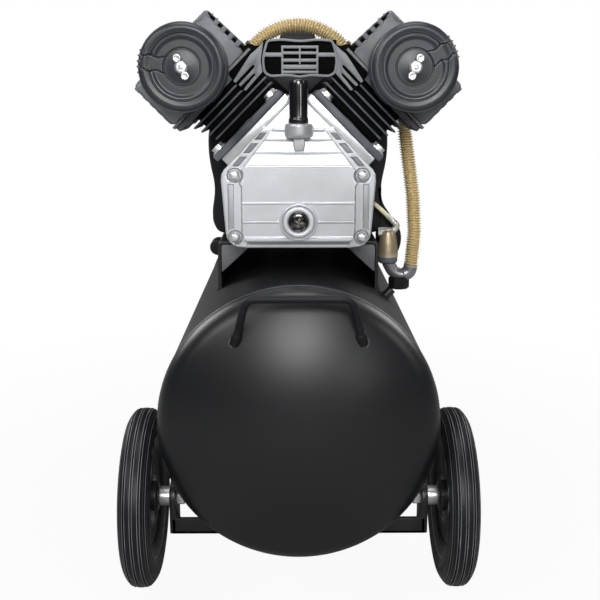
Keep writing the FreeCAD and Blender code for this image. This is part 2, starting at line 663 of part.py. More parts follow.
def make_plates_and_bolts():
    """Valve plates under the heads, and the bolts that hold the cylinders and heads down."""
    plates, bolts = [], []
    for side, way in SIDES:
        plate = block(f"{side}_plate_bar", ("-head_half", "-head_deep", "barrel_top + 0.1"),
                      ("head_half", "head_deep", "barrel_top + plate_thick - 0.1"))
        ports = [rod(f"{side}_port_{index}", 4, 10, (across, deep, "barrel_top - 3"))
                 for index, (across, deep) in enumerate([(-12, -8), (-12, 8), (12, -8), (12, 8)])]
        holes = [rod(f"{side}_plate_hole_{index}", 4.2, 10, (across, deep, "barrel_top - 3"))
                 for index, (across, deep) in enumerate(HEAD_BOLT_SPOTS)]
        plates.append(on_bank(f"{side}_plate", [carve(f"{side}_plate_cut", plate, ports + holes)], way))
        for index, (across, deep) in enumerate(BOLT_SPOTS):
            shank = rod(f"{side}_base_shank_{index}", 4, 20, (across, deep, "deck - 12"))
            cap = hexagon(f"{side}_base_cap_{index}", 7.3, 5.5, (across, deep, "deck + 8"))
            bolts.append(on_bank(f"{side}_base_bolt_{index}",
                                 [join(f"{side}_base_bolt_whole_{index}", [shank, cap])], way))
        for index, (across, deep) in enumerate(HEAD_BOLT_SPOTS):
            shank = rod(f"{side}_head_shank_{index}", 4, "head_top - 9 - barrel_top + 5",
                        (across, deep, "barrel_top - 5"))
            cap = hexagon(f"{side}_head_cap_{index}", 7.3, 5.5, (across, deep, "head_top - 9"))
            bolts.append(on_bank(f"{side}_head_bolt_{index}",
                                 [join(f"{side}_head_bolt_whole_{index}", [shank, cap])], way))
    node("valve_plates", gather("plate_pair", plates))
    node("hex_bolts", gather("bolt_set", bolts))


def make_filters():
    """Air filter on the front of each head: housing with its stud, element, cap and wing nut."""
    bases, elements, caps = [], [], []
    depth = "case_front - 1.4"
    for side, way in SIDES:
        at = (f"{way} * filter_side", depth, "filter_height")
        housing = turned(f"{side}_filter_housing", [
            (7, -12), (11.9, -12), (11.9, 0), ("filter_radius - 0.5", 0), ("filter_radius - 0.5", 22),
            ("filter_radius - 3", 22), ("filter_radius - 3", 3), (7, 3),
        ], at, TO_FRONT)
        spider = block(f"{side}_filter_spider", (f"{way} * filter_side - 8", f"{depth} - 3", "filter_height - 2"),
                       (f"{way} * filter_side + 8", f"{depth}", "filter_height + 2"))
        stud = rod(f"{side}_filter_stud", 2.5, 53, at, TO_FRONT)
        bases.append(join(f"{side}_filter_base", [housing, spider, stud]))
        elements.append(turned(f"{side}_filter_element", [
            (16, 3.2), (36, 3.2), (36, 43), (16, 43),
        ], at, TO_FRONT))
        front = "case_front - 1.4 - filter_front"
        caps.append(turned(f"{side}_filter_cap", [
            (2.8, f"{front} - 2.5"), ("filter_radius - 6", f"{front} - 4"), ("filter_radius - 3", f"{front} - 9"),
            ("filter_radius - 3", 22.3), ("filter_radius", 22.3), ("filter_radius", f"{front} - 8"),
            ("filter_radius - 2", f"{front} - 2"), ("filter_radius - 6", front), (31, f"{front} - 2"),
            (29, front), (12, front), (10, f"{front} - 2"), (2.8, f"{front} - 1"),
        ], at, TO_FRONT))
        spot = (f"{way} * filter_side", "filter_front + 0.4", "filter_height")
        hub = turned(f"{side}_nut_hub", [(2.6, 0), (7.5, 0), (7.5, 2), (5, 6.5), (2.6, 6.5)])
        wings = [rod(f"{side}_wing_{index}", 4.3, 4.2, (f"{reach}", 0, 3.6))
                 for index, reach in enumerate((-9.5, 9.5))]
        webs = [block(f"{side}_web_{index}", (f"{start}", -1.6, 2), (f"{start} + 5", 1.6, 6.6))
                for index, start in enumerate((-9, 4))]
        tilt = Rotation(Vector(0, 1, 0), 66 * way).multiply(TO_FRONT)
        whole = join(f"{side}_nut_whole", [hub] + wings + webs)
        node(f"{side}_wing_nut", turned_group(f"{side}_wing_nut_placed", [whole], spot, tilt))
    node("filter_bases", gather("base_pair", bases))
    node("filter_elements", gather("element_pair", elements))
    node("filter_caps", gather("cap_pair", caps))


def make_running_parts():
    """Crankshaft with its pin up, two connecting rods side by side on it, pistons and bearings."""
    journal = rod("crank_journal", "shaft_radius", 44, (0, "case_back - 42", "crank_height"), TO_BACK)
    web = padded("crank_web", [[
        (-24, -34), (24, -34), (24, 0), (15, 34), (-15, 34), (-24, 0)]], 8,
        (0, "case_back - 42", "crank_height"))
    pin = rod("crank_pin", 11, 28, (0, "case_back - 42 - 27", "crank_height + crank_throw"), TO_BACK)
    node("crankshaft", join("crank_whole", [journal, web, pin]))
    throw = number("crank_throw")
    across = throw * math.sin(math.radians(BANK_LEAN))
    reach = number("rod_length")
    out = across + math.sqrt(reach ** 2 - across ** 2)
    tilt_angle = math.degrees(math.asin(across / reach))
    rods, pistons = [], []
    for (side, way), offset in zip(SIDES, (-11, 0)):
        big = rod(f"{side}_big_end", 17, 10, (0, offset, 0), TO_BACK)
        small = rod(f"{side}_small_end", 9.5, 10, (0, offset, "rod_length"), TO_BACK)
        beam = block(f"{side}_beam", (-6, offset + 1, 8), (6, offset + 9, "rod_length - 5"))
        eyes = [rod(f"{side}_big_eye", "11 + shaft_play", 12, (0, offset - 1, 0), TO_BACK),
                rod(f"{side}_small_eye", 6, 12, (0, offset - 1, "rod_length"), TO_BACK)]
        whole = carve(f"{side}_rod", join(f"{side}_rod_whole", [big, small, beam]), eyes)
        lean = Rotation(Vector(0, 1, 0), way * (BANK_LEAN + tilt_angle))
        rods.append(turned_group(f"{side}_rod_placed", [whole], (
            0, "bank_place", "crank_height + crank_throw"), lean))
        crown = rod(f"{side}_crown", "bore_radius - 0.08", 32, (0, 0, f"{out} - 15"))
        inside = rod(f"{side}_skirt", "bore_radius - 4", 26, (0, 0, f"{out} - 16"))
        gudgeon = rod(f"{side}_gudgeon", 6, 46, (0, -23, f"{out}"), TO_BACK)
        piston = join(f"{side}_piston", [carve(f"{side}_piston_cup", crown, [inside]), gudgeon])
        pistons.append(on_bank(f"{side}_piston_placed", [piston], way))
    node("connecting_rods", gather("rod_pair", rods))
    node("pistons", gather("piston_pair", pistons))
    rings = [turned(f"bearing_{index}", [
        ("shaft_radius + shaft_play", 0), ("bearing_radius", 0), ("bearing_radius", 12),
        ("shaft_radius + shaft_play", 12)], (0, place_at, "crank_height"), TO_BACK)
        for index, place_at in enumerate(("case_back - 12.5", "motor_front + 2", "motor_back - 13"))]
    node("ball_bearings", gather("bearing_set", rings))


def make_air_guide():
    """Plastic louvre between the banks that turns the cooling air onto the fins."""
    frame = mirrored([(11, 88), (27, 104), (34, 108), (35, 124), (32, 141)])
    front = "case_front - 4"
    windows = [
        [(19, 132), (30, 132), (29, 138), (19, 138)],
        [(19, 110), (31, 110), (31, 127), (19, 127)],
        [(-30, 132), (-19, 132), (-19, 138), (-29, 138)],
        [(-31, 110), (-19, 110), (-19, 127), (-31, 127)],
    ]
    slots = [[(-15, 112 + step), (15, 112 + step), (15, 115 + step), (-15, 115 + step)]
             for step in (0, 7, 14, 21)]
    node("air_guide", padded("air_guide", [frame] + windows + slots, 4.6, (0, front, "crank_height")))


# ---------------------------------------------------------------- air lines
def make_pipes():
    """Crossover pipe between the heads, delivery pipe to the tank and the small unloader tube."""
    start = seat(61, 138)
    reach = -start[0] / math.sin(math.radians(BANK_LEAN))
    rise = start[1] + reach * (1 / math.sin(math.radians(BANK_LEAN)) - math.cos(math.radians(BANK_LEAN)))
    crest = start[1] - start[0]
    node("crossover_pipe", routed("crossover_pipe", [
        seat_at(58.2, 138, -1),
        (0, "bank_place", f"crank_height + {crest}", reach),
        seat_at(58.2, 138, 1),
    ], "pipe_radius", "pipe_bore"))
    node("delivery_pipe", routed("delivery_pipe", [
        (120, "bank_place + head_deep + 0.4", 552),
        (121, "valve_place + 28", 551, 14),
        (126, "valve_place + 24", 500, 60),
        (135, "valve_place + 10", 430, 80),
        (136, "valve_place", 385, 50),
        (133.5, "valve_place", 359),
    ], "pipe_radius", "pipe_bore"))
    nuts = [
        collar("crossover_nut_left", seat_at(58.2, 138, -1), bank_turn(-1).multiply(TO_RIGHT)),
        collar("crossover_nut_right", seat_at(58.2, 138, 1), bank_turn(1).multiply(TO_LEFT)),
        collar("delivery_nut_top", (120, "bank_place + head_deep + 0.4", 552), TO_BACK),
    ]
    node("pipe_nuts", gather("nut_set", nuts))
    node("unloader_tube", routed("unloader_tube", [
        (106, "valve_place", 397.5),
        (103, "valve_place", 405, 7),
        (90, "valve_place", 419, 9),
        (88, "valve_place + 60", 419, 40),
        (86, 110, 410, 60),
        (60, 160, 400, 30),
        (10, "control_place - 38", 400, 14),
        (10, "control_place - 16.4", 400),
    ], 2.6, 1.6))


def seat_at(across, out, way):
    """Place on a bank at its middle depth, from across and out of the crank axis."""
    side, up = seat(across, out)
    return f"{-way * side}", "bank_place", f"crank_height + {up}"


def collar(name, at, turn):
    """Hexagon nut round the end of a finned pipe."""
    return turned_group(name, [carve(name + "_cut", hexagon(name + "_bar", 11, 9),
                                     [rod(name + "_hole", "pipe_radius + 0.6", 12, (0, 0, -1))])], at, turn)


def make_check_valve():
    """Check valve on the tank: a cross body with a hexagon foot and a brass cap."""
    at = "valve_place"
    foot = hexagon("valve_foot", 12, 20, ("valve_side", at, 318.3))
    thread = rod("valve_thread", 7.9, 26, ("valve_side", at, 293))
    body = rod("valve_body", 9, 39, (101, at, 348), TO_RIGHT)
    stem = rod("valve_stem", 8.5, 12, ("valve_side", at, 337))
    outer = rod("valve_outer", 9.5, 8, (133.5, at, 350))
    inner = rod("valve_inner", 7.5, 12, (106, at, 350))
    cap = hexagon("valve_cap", 9.5, 12, (106, at, 362))
    dome = rod("valve_dome", 7.5, 22, (106, at, 370))
    tip = rod("valve_tip", 3.6, 6, (106, at, 390))
    hole = rod("valve_hole", 4, 70, ("valve_side", at, 280))
    node("check_valve", carve("valve_bored", join("valve_whole", [
        foot, thread, body, stem, outer, inner, cap, dome, tip]), [hole]))


# ---------------------------------------------------------------- motor
def shroud_outline(inset):
    """Front view of the fan shroud about the crank axis, a rounded box with a waist."""
    return mirrored([
        (62 - inset, -79 + inset), (96 - inset, -76 + inset), (102 - inset, -62), (102 - inset, -48),
        (98 - inset, -22), (105 - inset, 12), (106 - inset, 40), (98 - inset, 72 - inset / 2),
        (70 - inset, 104 - inset), (30 - inset, 118 - inset),
    ])


def make_shroud():
    """Plastic shroud round the cooling fan, open at the back, with a round mouth at the front."""
    body = padded("shroud_body", [shroud_outline(0)], "shroud_back - shroud_front",
                  (0, "shroud_front", "crank_height"))
    room = padded("shroud_room", [shroud_outline(3)], "shroud_back - shroud_front",
                  (0, "shroud_front + 3", "crank_height"))
    mouth = rod("shroud_mouth", "fan_radius - 4", 20, (0, "shroud_front - 8", "crank_height"), TO_BACK)
    pass_hole = rod("shroud_pass", 5, 20, (89.6, "shroud_front - 8", 419), TO_BACK)
    node("fan_shroud", carve("shroud_cut", body, [room, mouth, pass_hole]))


def make_fan():
    """Cooling fan on the motor shaft: a hub with eight raked blades."""
    hub = turned("fan_hub", [("shaft_radius", 0), (22, 0), (22, 26), ("shaft_radius", 26)],
                 (0, "shroud_front + 12", "crank_height"), TO_BACK)
    blades = []
    for index in range(8):
        spin = Rotation(Vector(0, 1, 0), 45 * index)
        rake = Rotation(Vector(0, 0, 1), 35)
        blade = block(f"fan_blade_bar_{index}", (-14, -1.25, 18), (14, 1.25, "fan_radius"))
        raked = turned_group(f"fan_blade_raked_{index}", [blade], (0, 0, 0), rake)
        blades.append(turned_group(f"fan_blade_{index}", [raked],
                                   (0, "shroud_front + 25", "crank_height"), spin))
    bore = rod("fan_bore", "shaft_radius", 60, (0, "shroud_front - 4", "crank_height"), TO_BACK)
    node("cooling_fan", carve("fan_cut", join("fan_whole", [hub] + blades), [bore]))


def make_motor():
    """Finned motor frame with end bells, stator, rotor on its shaft, back cowl and capacitor case."""
    length = "motor_back - motor_front - 24"
    start = (0, "motor_front + 12", "crank_height")
    frame = rod("frame_bar", "motor_radius - 6", length, start, TO_BACK)
    fins = [turned_group(f"frame_fin_{index}", [block(
        f"frame_fin_bar_{index}", (-1.2, 0, "motor_radius - 8"), (1.2, length, "motor_radius"))],
        start, Rotation(Vector(0, 1, 0), 15 * index)) for index in range(24)]
    foot = block("frame_foot", (-62, "motor_front + 30", "saddle_top"),
                 (62, "motor_back - 30", "crank_height - motor_radius + 16"))
    inside = rod("frame_inside", "motor_radius - 10", "motor_back - motor_front",
                 (0, "motor_front", "crank_height"), TO_BACK)
    node("motor_frame", carve("frame_bored", join("frame_whole", [frame, foot] + fins), [inside]))
    bells = [turned(f"bell_{name}", [
        ("bearing_radius", 0), ("motor_radius - 8", 0), ("motor_radius - 2", 4), ("motor_radius - 2", 11.8),
        ("motor_radius - 10.2", 11.8), ("motor_radius - 10.2", 14), ("bearing_radius", 14),
    ], (0, at, "crank_height"), turn)
        for name, at, turn in (("front", "motor_front", TO_BACK), ("back", "motor_back", TO_FRONT))]
    node("end_bells", gather("bell_pair", bells))
    node("stator", turned("stator", [
        (41, 0), ("motor_radius - 10.1", 0), ("motor_radius - 10.1", 120), (41, 120),
    ], (0, "motor_front + 46", "crank_height"), TO_BACK))
    node("rotor", turned("rotor", [
        (0, 0), ("shaft_radius", 0), ("shaft_radius", 103.6), (40.4, 103.6), (40.4, 218.4),
        ("shaft_radius", 218.4), ("shaft_radius", 300), (0, 300),
    ], (0, "case_back + 3", "crank_height"), TO_BACK))
    cowl = turned("cowl_shell", [
        ("motor_radius - 4", 0), ("motor_radius - 1", 0), ("motor_radius - 1", "cowl_back - motor_back - 10"),
        ("motor_radius - 10", "cowl_back - motor_back - 2"), (0, "cowl_back - motor_back"),
        (0, "cowl_back - motor_back - 3"), ("motor_radius - 13", "cowl_back - motor_back - 5"),
        ("motor_radius - 4", "cowl_back - motor_back - 11"),
    ], (0, "motor_back + 0.3", "crank_height"), TO_BACK)
    slots = [turned_group(f"cowl_slot_{index}", [block(
        f"cowl_slot_bar_{index}", (-2.5, 0, 22), (2.5, 60, 56))],
        (0, "motor_back + 10", "crank_height"), Rotation(Vector(0, 1, 0), 20 * index)) for index in range(18)]
    node("motor_cowl", carve("cowl_cut", cowl, slots))
    case = rod("capacitor_case", 24, 130, (0, -70, 598), TO_BACK)
    neck = block("capacitor_neck", (-22, -66, "crank_height + motor_radius - 1"), (22, 56, 598))
    hull = join("capacitor_whole", [case, neck])
    curve = rod("capacitor_seat", "motor_radius + 0.3", 200, (0, -110, "crank_height"), TO_BACK)
    node("capacitor_case", carve("capacitor_cut", hull, [curve]))


# ---------------------------------------------------------------- controls
def make_manifold():
    """Riser from the tank, cross block, regulator body and the collars that carry the gauges."""
    y = "control_place"
    thread = rod("riser_thread", 7.9, 12, (0, y, 349))
    riser = hexagon("riser", 13, 28, (0, y, 360.2))
    cross = block("cross_block", (-22, f"{y} - 16", 386), (22, f"{y} + 16", 414))
    link = rod("regulator_link", 8, 12, (20, y, 400), TO_RIGHT)
    regulator = rod("regulator_body", 17, 34, (48, y, 384))
    outlet = rod("outlet_boss", 8.5, 10, (60, y, 400), TO_RIGHT)
    tank_neck = rod("tank_gauge_neck", 5, 16, (0, f"{y} + 14", 400), TO_BACK)
    out_neck = rod("outlet_gauge_neck", 5, 16, (48, f"{y} + 14", 400), TO_BACK)
    node("manifold", join("manifold_whole", [
        thread, riser, cross, link, regulator, outlet, tank_neck, out_neck]))
    node("regulator_knob", turned("regulator_knob", [
        (0, 0), (14, 0), (16, 3), (16, 24), (13, 28), (0, 28),
    ], (48, y, 418.4)))


def make_gauges():
    """Two dial gauges that face backwards, each with its own needle."""
    cases = []
    for name, across in (("tank", 0), ("outlet", 48)):
        at = (across, "control_place + 30", 400)
        cases.append(turned(f"{name}_gauge_case", [
            (0, 0), ("gauge_radius - 3", 0), ("gauge_radius", 3), ("gauge_radius", 15),
            ("gauge_radius - 2", 15), ("gauge_radius - 2", 10), (0, 10),
        ], at, TO_BACK))
        lean = Rotation(Vector(0, 1, 0), -135)
        pin = rod(f"{name}_needle_hub", 2.4, 2.6, (0, 10.4, 0), TO_BACK)
        hand = block(f"{name}_needle_hand", (-0.7, 11, -5), (0.7, 12, "gauge_radius - 5"))
        node(f"{name}_needle", turned_group(f"{name}_needle_placed", [join(f"{name}_needle_whole", [pin, hand])],
                                            at, lean))
    node("gauge_cases", gather("gauge_pair", cases))


def make_switch():
    """Pressure switch box on the cross block, with the knob that starts and stops the machine."""
    y = "control_place"
    box = block("switch_box", (-30, f"{y} - 28", 414.2), (30, f"{y} + 28", 492))
    smooth = soften("switch_smooth", box, 7, runs_along(Vector(0, 0, 1)))
    gland = rod("cable_gland", 8, 14, (-29, y, 436), TO_LEFT)
    gland_hole = rod("cable_hole", 4.5, 30, (-28, y, 436), TO_LEFT)
    well = rod("knob_well", 6.1, 12, (0, y, 482))
    node("pressure_switch", carve("switch_cut", join("switch_whole", [smooth, gland]), [gland_hole, well]))
    node("switch_knob", turned("switch_knob", [
        (0, -8), (6, -8), (6, 2), (13, 2), (15, 5), (15, 16), (12, 20), (0, 20),
    ], (0, y, 492)))


def make_outlet():
    """Quick coupler for the hose with its sliding sleeve, and the safety valve with its ring."""
    y = "control_place"
    node("quick_coupler", turned("quick_coupler", [
        (5, 0), (9.5, 0), (9.5, 8), (8, 10), (8, 38), (5, 38),
    ], (70.2, y, 400), TO_RIGHT))
    node("coupler_sleeve", turned("coupler_sleeve", [
        (8.08, 14), (12, 14), (12.5, 16), (12.5, 20), (11.5, 22), (12.5, 24), (12.5, 30), (11, 32), (8.08, 32),
    ], (70.2, y, 400), TO_RIGHT))
    node("safety_valve", turned("safety_valve", [
        (0, 0), (6, 0), (6, 5), (8.5, 5), (8.5, 20), (6.5, 24), (6.5, 30), (3.1, 30), (3.1, 20), (0, 20),
    ], (-22.1, y, 400), TO_LEFT))
    stem = rod("ring_stem", 3, 14, (-43, y, 400), TO_LEFT)
    loop = turned("ring_loop", [(7, -1.2), (9.4, -1.2), (9.4, 1.2), (7, 1.2)], (-65, y, 400))
    node("safety_ring", join("ring_whole", [stem, loop]))


# ---------------------------------------------------------------- build
make_tank()
make_handles()
for side_name, side_way in SIDES:
    make_wheel(side_name, side_way)
    make_cylinder(side_name, side_way)
    make_head(side_name, side_way)
make_axles()
make_feet()
make_drain()
make_saddle()
make_crankcase()
make_cover()
make_plates_and_bolts()
make_filters()
make_running_parts()
make_air_guide()
make_pipes()
make_check_valve()
make_shroud()
make_fan()
make_motor()
make_manifold()
make_gauges()
make_switch()
make_outlet()
doc.recompute()

# Every object has to be sound before anything is written.
for thing in doc.Objects:
    if "Invalid" in thing.State or "Error" in thing.State:
        raise RuntimeError(f"{thing.Name} failed: {thing.State}")
for name, thing in nodes.items():
    if thing.Shape.isNull() or not thing.Shape.isValid() or not thing.Shape.Solids:
        raise RuntimeError(f"{name} has no sound shape")
os.makedirs("parts", exist_ok=True)
for name, thing in nodes.items():
    thing.Shape.exportStep(f"parts/{name}.step")
    print(f"{name}: {len(thing.Shape.Solids)} solids, {thing.Shape.Volume / 1000:.1f} cm3")
print(f"{len(nodes)} nodes")
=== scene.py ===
"""Looks of a portable V-twin air compressor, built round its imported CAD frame.

Every piece is a surface worked out with numpy in millimetres, in the CAD's own frame, and put
into the mesh in metres.  Run as a script; the panel in the sidebar lists the same steps.
"""
import json
import math

import bpy
import numpy as np
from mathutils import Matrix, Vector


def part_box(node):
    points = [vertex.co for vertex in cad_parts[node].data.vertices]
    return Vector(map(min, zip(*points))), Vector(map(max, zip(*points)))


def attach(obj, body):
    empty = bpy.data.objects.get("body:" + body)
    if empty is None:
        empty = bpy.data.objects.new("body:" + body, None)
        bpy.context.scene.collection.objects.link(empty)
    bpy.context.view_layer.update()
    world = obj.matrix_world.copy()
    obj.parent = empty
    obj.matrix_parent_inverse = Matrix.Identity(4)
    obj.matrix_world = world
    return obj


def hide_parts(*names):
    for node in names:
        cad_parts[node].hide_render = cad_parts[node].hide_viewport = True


bl_info = {
    "name": "Air compressor",
    "version": (1, 0, 0),
    "blender": (4, 5, 0),
    "location": "View3D > Sidebar > Compressor",
    "description": "Builds the visible pieces of a wheeled two-cylinder air compressor",
    "category": "Object",
}

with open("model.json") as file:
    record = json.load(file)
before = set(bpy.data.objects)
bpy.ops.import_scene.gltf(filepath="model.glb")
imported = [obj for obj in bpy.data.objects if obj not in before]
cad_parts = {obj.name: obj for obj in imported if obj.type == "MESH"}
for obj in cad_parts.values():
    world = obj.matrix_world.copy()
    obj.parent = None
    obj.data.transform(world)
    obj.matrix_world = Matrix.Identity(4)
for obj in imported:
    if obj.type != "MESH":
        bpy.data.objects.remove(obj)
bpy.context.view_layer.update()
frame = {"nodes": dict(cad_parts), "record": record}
MM = 0.001
MACHINE = "machine"


def reach(*names):
    """Lowest and highest corner of one or more CAD nodes, in millimetres."""
    boxes = [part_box(name) for name in names]
    low = np.min([np.array(box[0]) for box in boxes], 0) / MM
    high = np.max([np.array(box[1]) for box in boxes], 0) / MM
    return low, high


def middle(*names):
    """Centre of the box of one or more CAD nodes, in millimetres."""
    low, high = reach(*names)
    return (low + high) / 2


TANK_LOW, TANK_HIGH = reach("front_tank_head", "rear_tank_head")
TANK_RADIUS = (TANK_HIGH[0] - TANK_LOW[0]) / 2
TANK_AXIS = (TANK_HIGH[2] + TANK_LOW[2]) / 2
SHELL_END = reach("front_tank_head")[1][1]
WHEEL = middle("right_tyre")
WHEEL_RADIUS = WHEEL[2]
CRANK = 460.0
BANK = -205.0
CASE_FRONT = reach("crankcase")[0][1]
CASE_BACK = reach("crankcase")[1][1]
CONTROL = 215.0
CONTROL_UP = 400.0
VALVE_Y = -167.0
GLASS_UP = -47.0
DRAIN = (0, CONTROL - 35, 46)
ROOT_HALF = math.sqrt(0.5)
GAUGES = {"tank": 0, "outlet": 48}
SIDES = (("left", -1), ("right", 1))


# ---------------------------------------------------------------- turning and placing
def about(axis, degrees):
    """Matrix of a right-handed turn about X, Y or Z."""
    angle = math.radians(degrees)
    c, s = math.cos(angle), math.sin(angle)
    return np.array({
        "X": [[1, 0, 0], [0, c, -s], [0, s, c]],
        "Y": [[c, 0, s], [0, 1, 0], [-s, 0, c]],
        "Z": [[c, -s, 0], [s, c, 0], [0, 0, 1]],
    }[axis])


UPRIGHT = np.eye(3)
TO_FRONT = about("X", 90)
TO_BACK = about("X", -90)
TO_RIGHT = about("Y", 90)
TO_LEFT = about("Y", -90)
DOWNWARD = about("X", 180)


def put(points, at=(0, 0, 0), turn=UPRIGHT):
    """Points turned about the origin, then moved."""
    return points @ turn.T + np.array(at, float)


def on_bank(points, way):
    """Points made about the crank axis (across, deep, out), carried onto a leaning bank."""
    return put(points, (0, BANK, CRANK), about("Y", 45 * way))


# ---------------------------------------------------------------- outlines and surfaces
def ease(low, high, value):
    """Smooth step: 0 below low, 1 above high, 3t2 - 2t3 between them."""
    t = np.clip((value - low) / (high - low), 0, 1)
    return t * t * (3 - 2 * t)


def hump(centre, half, soft, value):
    """1 within half of the centre, falling to 0 over the soft width on both sides."""
    return 1 - ease(half, half + soft, np.abs(value - centre))


def angles(count):
    """Evenly spaced angles round a full turn."""
    return np.arange(count) * (2 * np.pi / count)


def rounded(corners, closed=False, steps=4):
    """Outline with its corners eased.

    A corner is (a, b) or (a, b, reach).  With a reach, the corner becomes the quadratic curve
    (1-t)^2 start + 2t(1-t) corner + t^2 stop, where start and stop lie that far from it.
    """
    spots = np.array([corner[:2] for corner in corners], float)
    count = len(spots)
    parts = []
    t = np.linspace(0, 1, steps + 1)[:, None]
    for index, corner in enumerate(corners):
        spot = spots[index]
        if len(corner) == 2 or (not closed and index in (0, count - 1)):
            parts.append(spot[None])
            continue
        ends = []
        for other in (spots[index - 1], spots[(index + 1) % count]):
            way = other - spot
            length = math.hypot(*way)
            ends.append(spot + way * min(corner[2], 0.49 * length) / length)
        parts.append((1 - t) ** 2 * ends[0] + 2 * t * (1 - t) * spot + t ** 2 * ends[1])
    return np.concatenate(parts)


def revolve(profile, count=72, swell=None):
    """Pairs (radius, height) carried round Z: x = r cos a, y = r sin a, z = h.

    swell(radius, height, angle) gives another radius, for flutes, fins and flats.
    """
    profile = np.asarray(profile, float)
    turn = angles(count)[None, :]
    radius, height = profile[:, :1], profile[:, 1:2]
    wide = radius + 0 * turn if swell is None else swell(radius, height, turn)
    return np.stack([wide * np.cos(turn), wide * np.sin(turn), height + 0 * turn], -1)


def turned(corners, count, swell=None, closed=False):
    """Piece off the lathe: a section with its corners eased, carried round Z."""
    return revolve(rounded(corners, closed), count, swell)


def hexed(corner):
    """Swell for a six-sided bar: the lesser of the profile's radius and the flat's distance."""
    def swell(radius, height, turn):
        flat = corner * math.cos(math.pi / 6) / np.cos(np.mod(turn, np.pi / 3) - np.pi / 6)
        return np.minimum(radius, flat)
    return swell


def nut(corner, length, bore=0.0, chamfer=1.0, washer=0.0):
    """Six-sided bar with turned chamfers, in section (radius, height) with a bore if it has one."""
    rise = [(bore, 0), (corner - chamfer, 0), (corner, chamfer * 0.6)]
    if washer:
        rise = [(bore, 0), (corner + washer, 0), (corner + washer, 1.2), (corner - 0.5, 1.3)]
    rise += [(corner, length - chamfer * 0.6), (corner - chamfer * 1.4, length), (bore, length)]
    flats_from = 1.25 if washer else -1

    def swell(radius, height, turn):
        six_sided = (radius > bore) & (height >= flats_from)
        return np.where(six_sided, hexed(corner)(radius, height, turn), radius)
    return revolve(rise, 72, swell)


def brick(low, high, ease_by=1.0, steps=3):
    """Box with rounded edges: the rounding times a sphere's normals, added to eight core corners."""
    low, high = np.array(low, float), np.array(high, float)
    half = (high - low) / 2
    ease_by = min(ease_by, half.min() * 0.98)
    quarter = np.linspace(0, 90, steps + 1)
    across = np.radians(np.concatenate([quarter + 90 * index for index in range(4)]))
    sign_x = np.repeat([1, -1, -1, 1], steps + 1)
    sign_y = np.repeat([1, 1, -1, -1], steps + 1)
    rise = np.radians(np.concatenate([np.linspace(-89, 0, steps + 1), np.linspace(0, 89, steps + 1)]))
    sign_z = np.repeat([-1, 1], steps + 1)
    core = half - ease_by
    x = core[0] * sign_x[None] + ease_by * np.cos(rise)[:, None] * np.cos(across)[None]
    y = core[1] * sign_y[None] + ease_by * np.cos(rise)[:, None] * np.sin(across)[None]
    z = (core[2] * sign_z + ease_by * np.sin(rise))[:, None] + 0 * x
    return np.stack([x, y, z], -1) + (low + high) / 2


def outward(outline):
    """Unit normals of a closed outline at its points, away from its inside."""
    way = np.roll(outline, -1, 0) - np.roll(outline, 1, 0)
    normal = np.stack([way[:, 1], -way[:, 0]], -1)
    normal /= np.linalg.norm(normal, axis=1)[:, None] + 1e-12
    x, y = outline.T
    area = np.sum(x * np.roll(y, -1) - np.roll(x, -1) * y)
    return normal * np.sign(area)


def slab(outline, low, high, ease_by=1.0, steps=3):
    """Closed outline carried from low to high along Z.

    At both ends it is drawn in by r(1 - sin t) where it rises by r(1 - cos t).
    """
    t = np.linspace(0, np.pi / 2, steps + 1)
    inset = ease_by * (1 - np.sin(t))
    rise = ease_by * (1 - np.cos(t))
    insets = np.concatenate([inset, inset[::-1]])
    heights = np.concatenate([low + rise, high - rise[::-1]])
    normal = outward(outline)
    flat = outline[None] - insets[:, None, None] * normal[None]
    return np.concatenate([flat, np.broadcast_to(heights[:, None, None], flat.shape[:2] + (1,))], -1)


def upright(points):
    """Points drawn as (across, up, back) turned into (x, y, z) with back along +Y."""
    return points[..., [0, 2, 1]]


def frames(path, side, closed=False):
    """Two unit vectors square to a path at each point, the first nearest to a given side."""
    way = np.roll(path, -1, 0) - np.roll(path, 1, 0) if closed else np.gradient(path, axis=0)
    way /= np.linalg.norm(way, axis=1)[:, None]
    side = np.array(side, float)
    first = side - (way @ side)[:, None] * way
    first /= np.linalg.norm(first, axis=1)[:, None]
    return first, np.cross(way, first)


def tube(path, radius, side=(0, 1, 0), count=16):
    """Ring of points carried along a path: p(s) + r(s, a)(cos a u + sin a v)."""
    turn = angles(count)
    wide = radius(measured(path)[:, None], turn[None]) if callable(radius) else radius
    wide = np.broadcast_to(wide, (len(path), count))[..., None]
    return path[:, None] + wide * spokes(frames(path, side), turn)


def spokes(pair, turn):
    """Unit vectors cos a u + sin a v round a path, from its two square vectors u and v."""
    first, second = pair
    return np.cos(turn)[None, :, None] * first[:, None] + np.sin(turn)[None, :, None] * second[:, None]


def measured(path):
    """Distance along a path at each of its points."""
    return np.concatenate([[0], np.cumsum(np.linalg.norm(np.diff(path, axis=0), axis=1))])


def even(path, gap):
    """The same path with its points spaced evenly."""
    along = measured(path)
    marks = np.linspace(0, along[-1], max(int(round(along[-1] / gap)) + 1, 2))
    return np.stack([np.interp(marks, along, path[:, axis]) for axis in range(3)], -1)


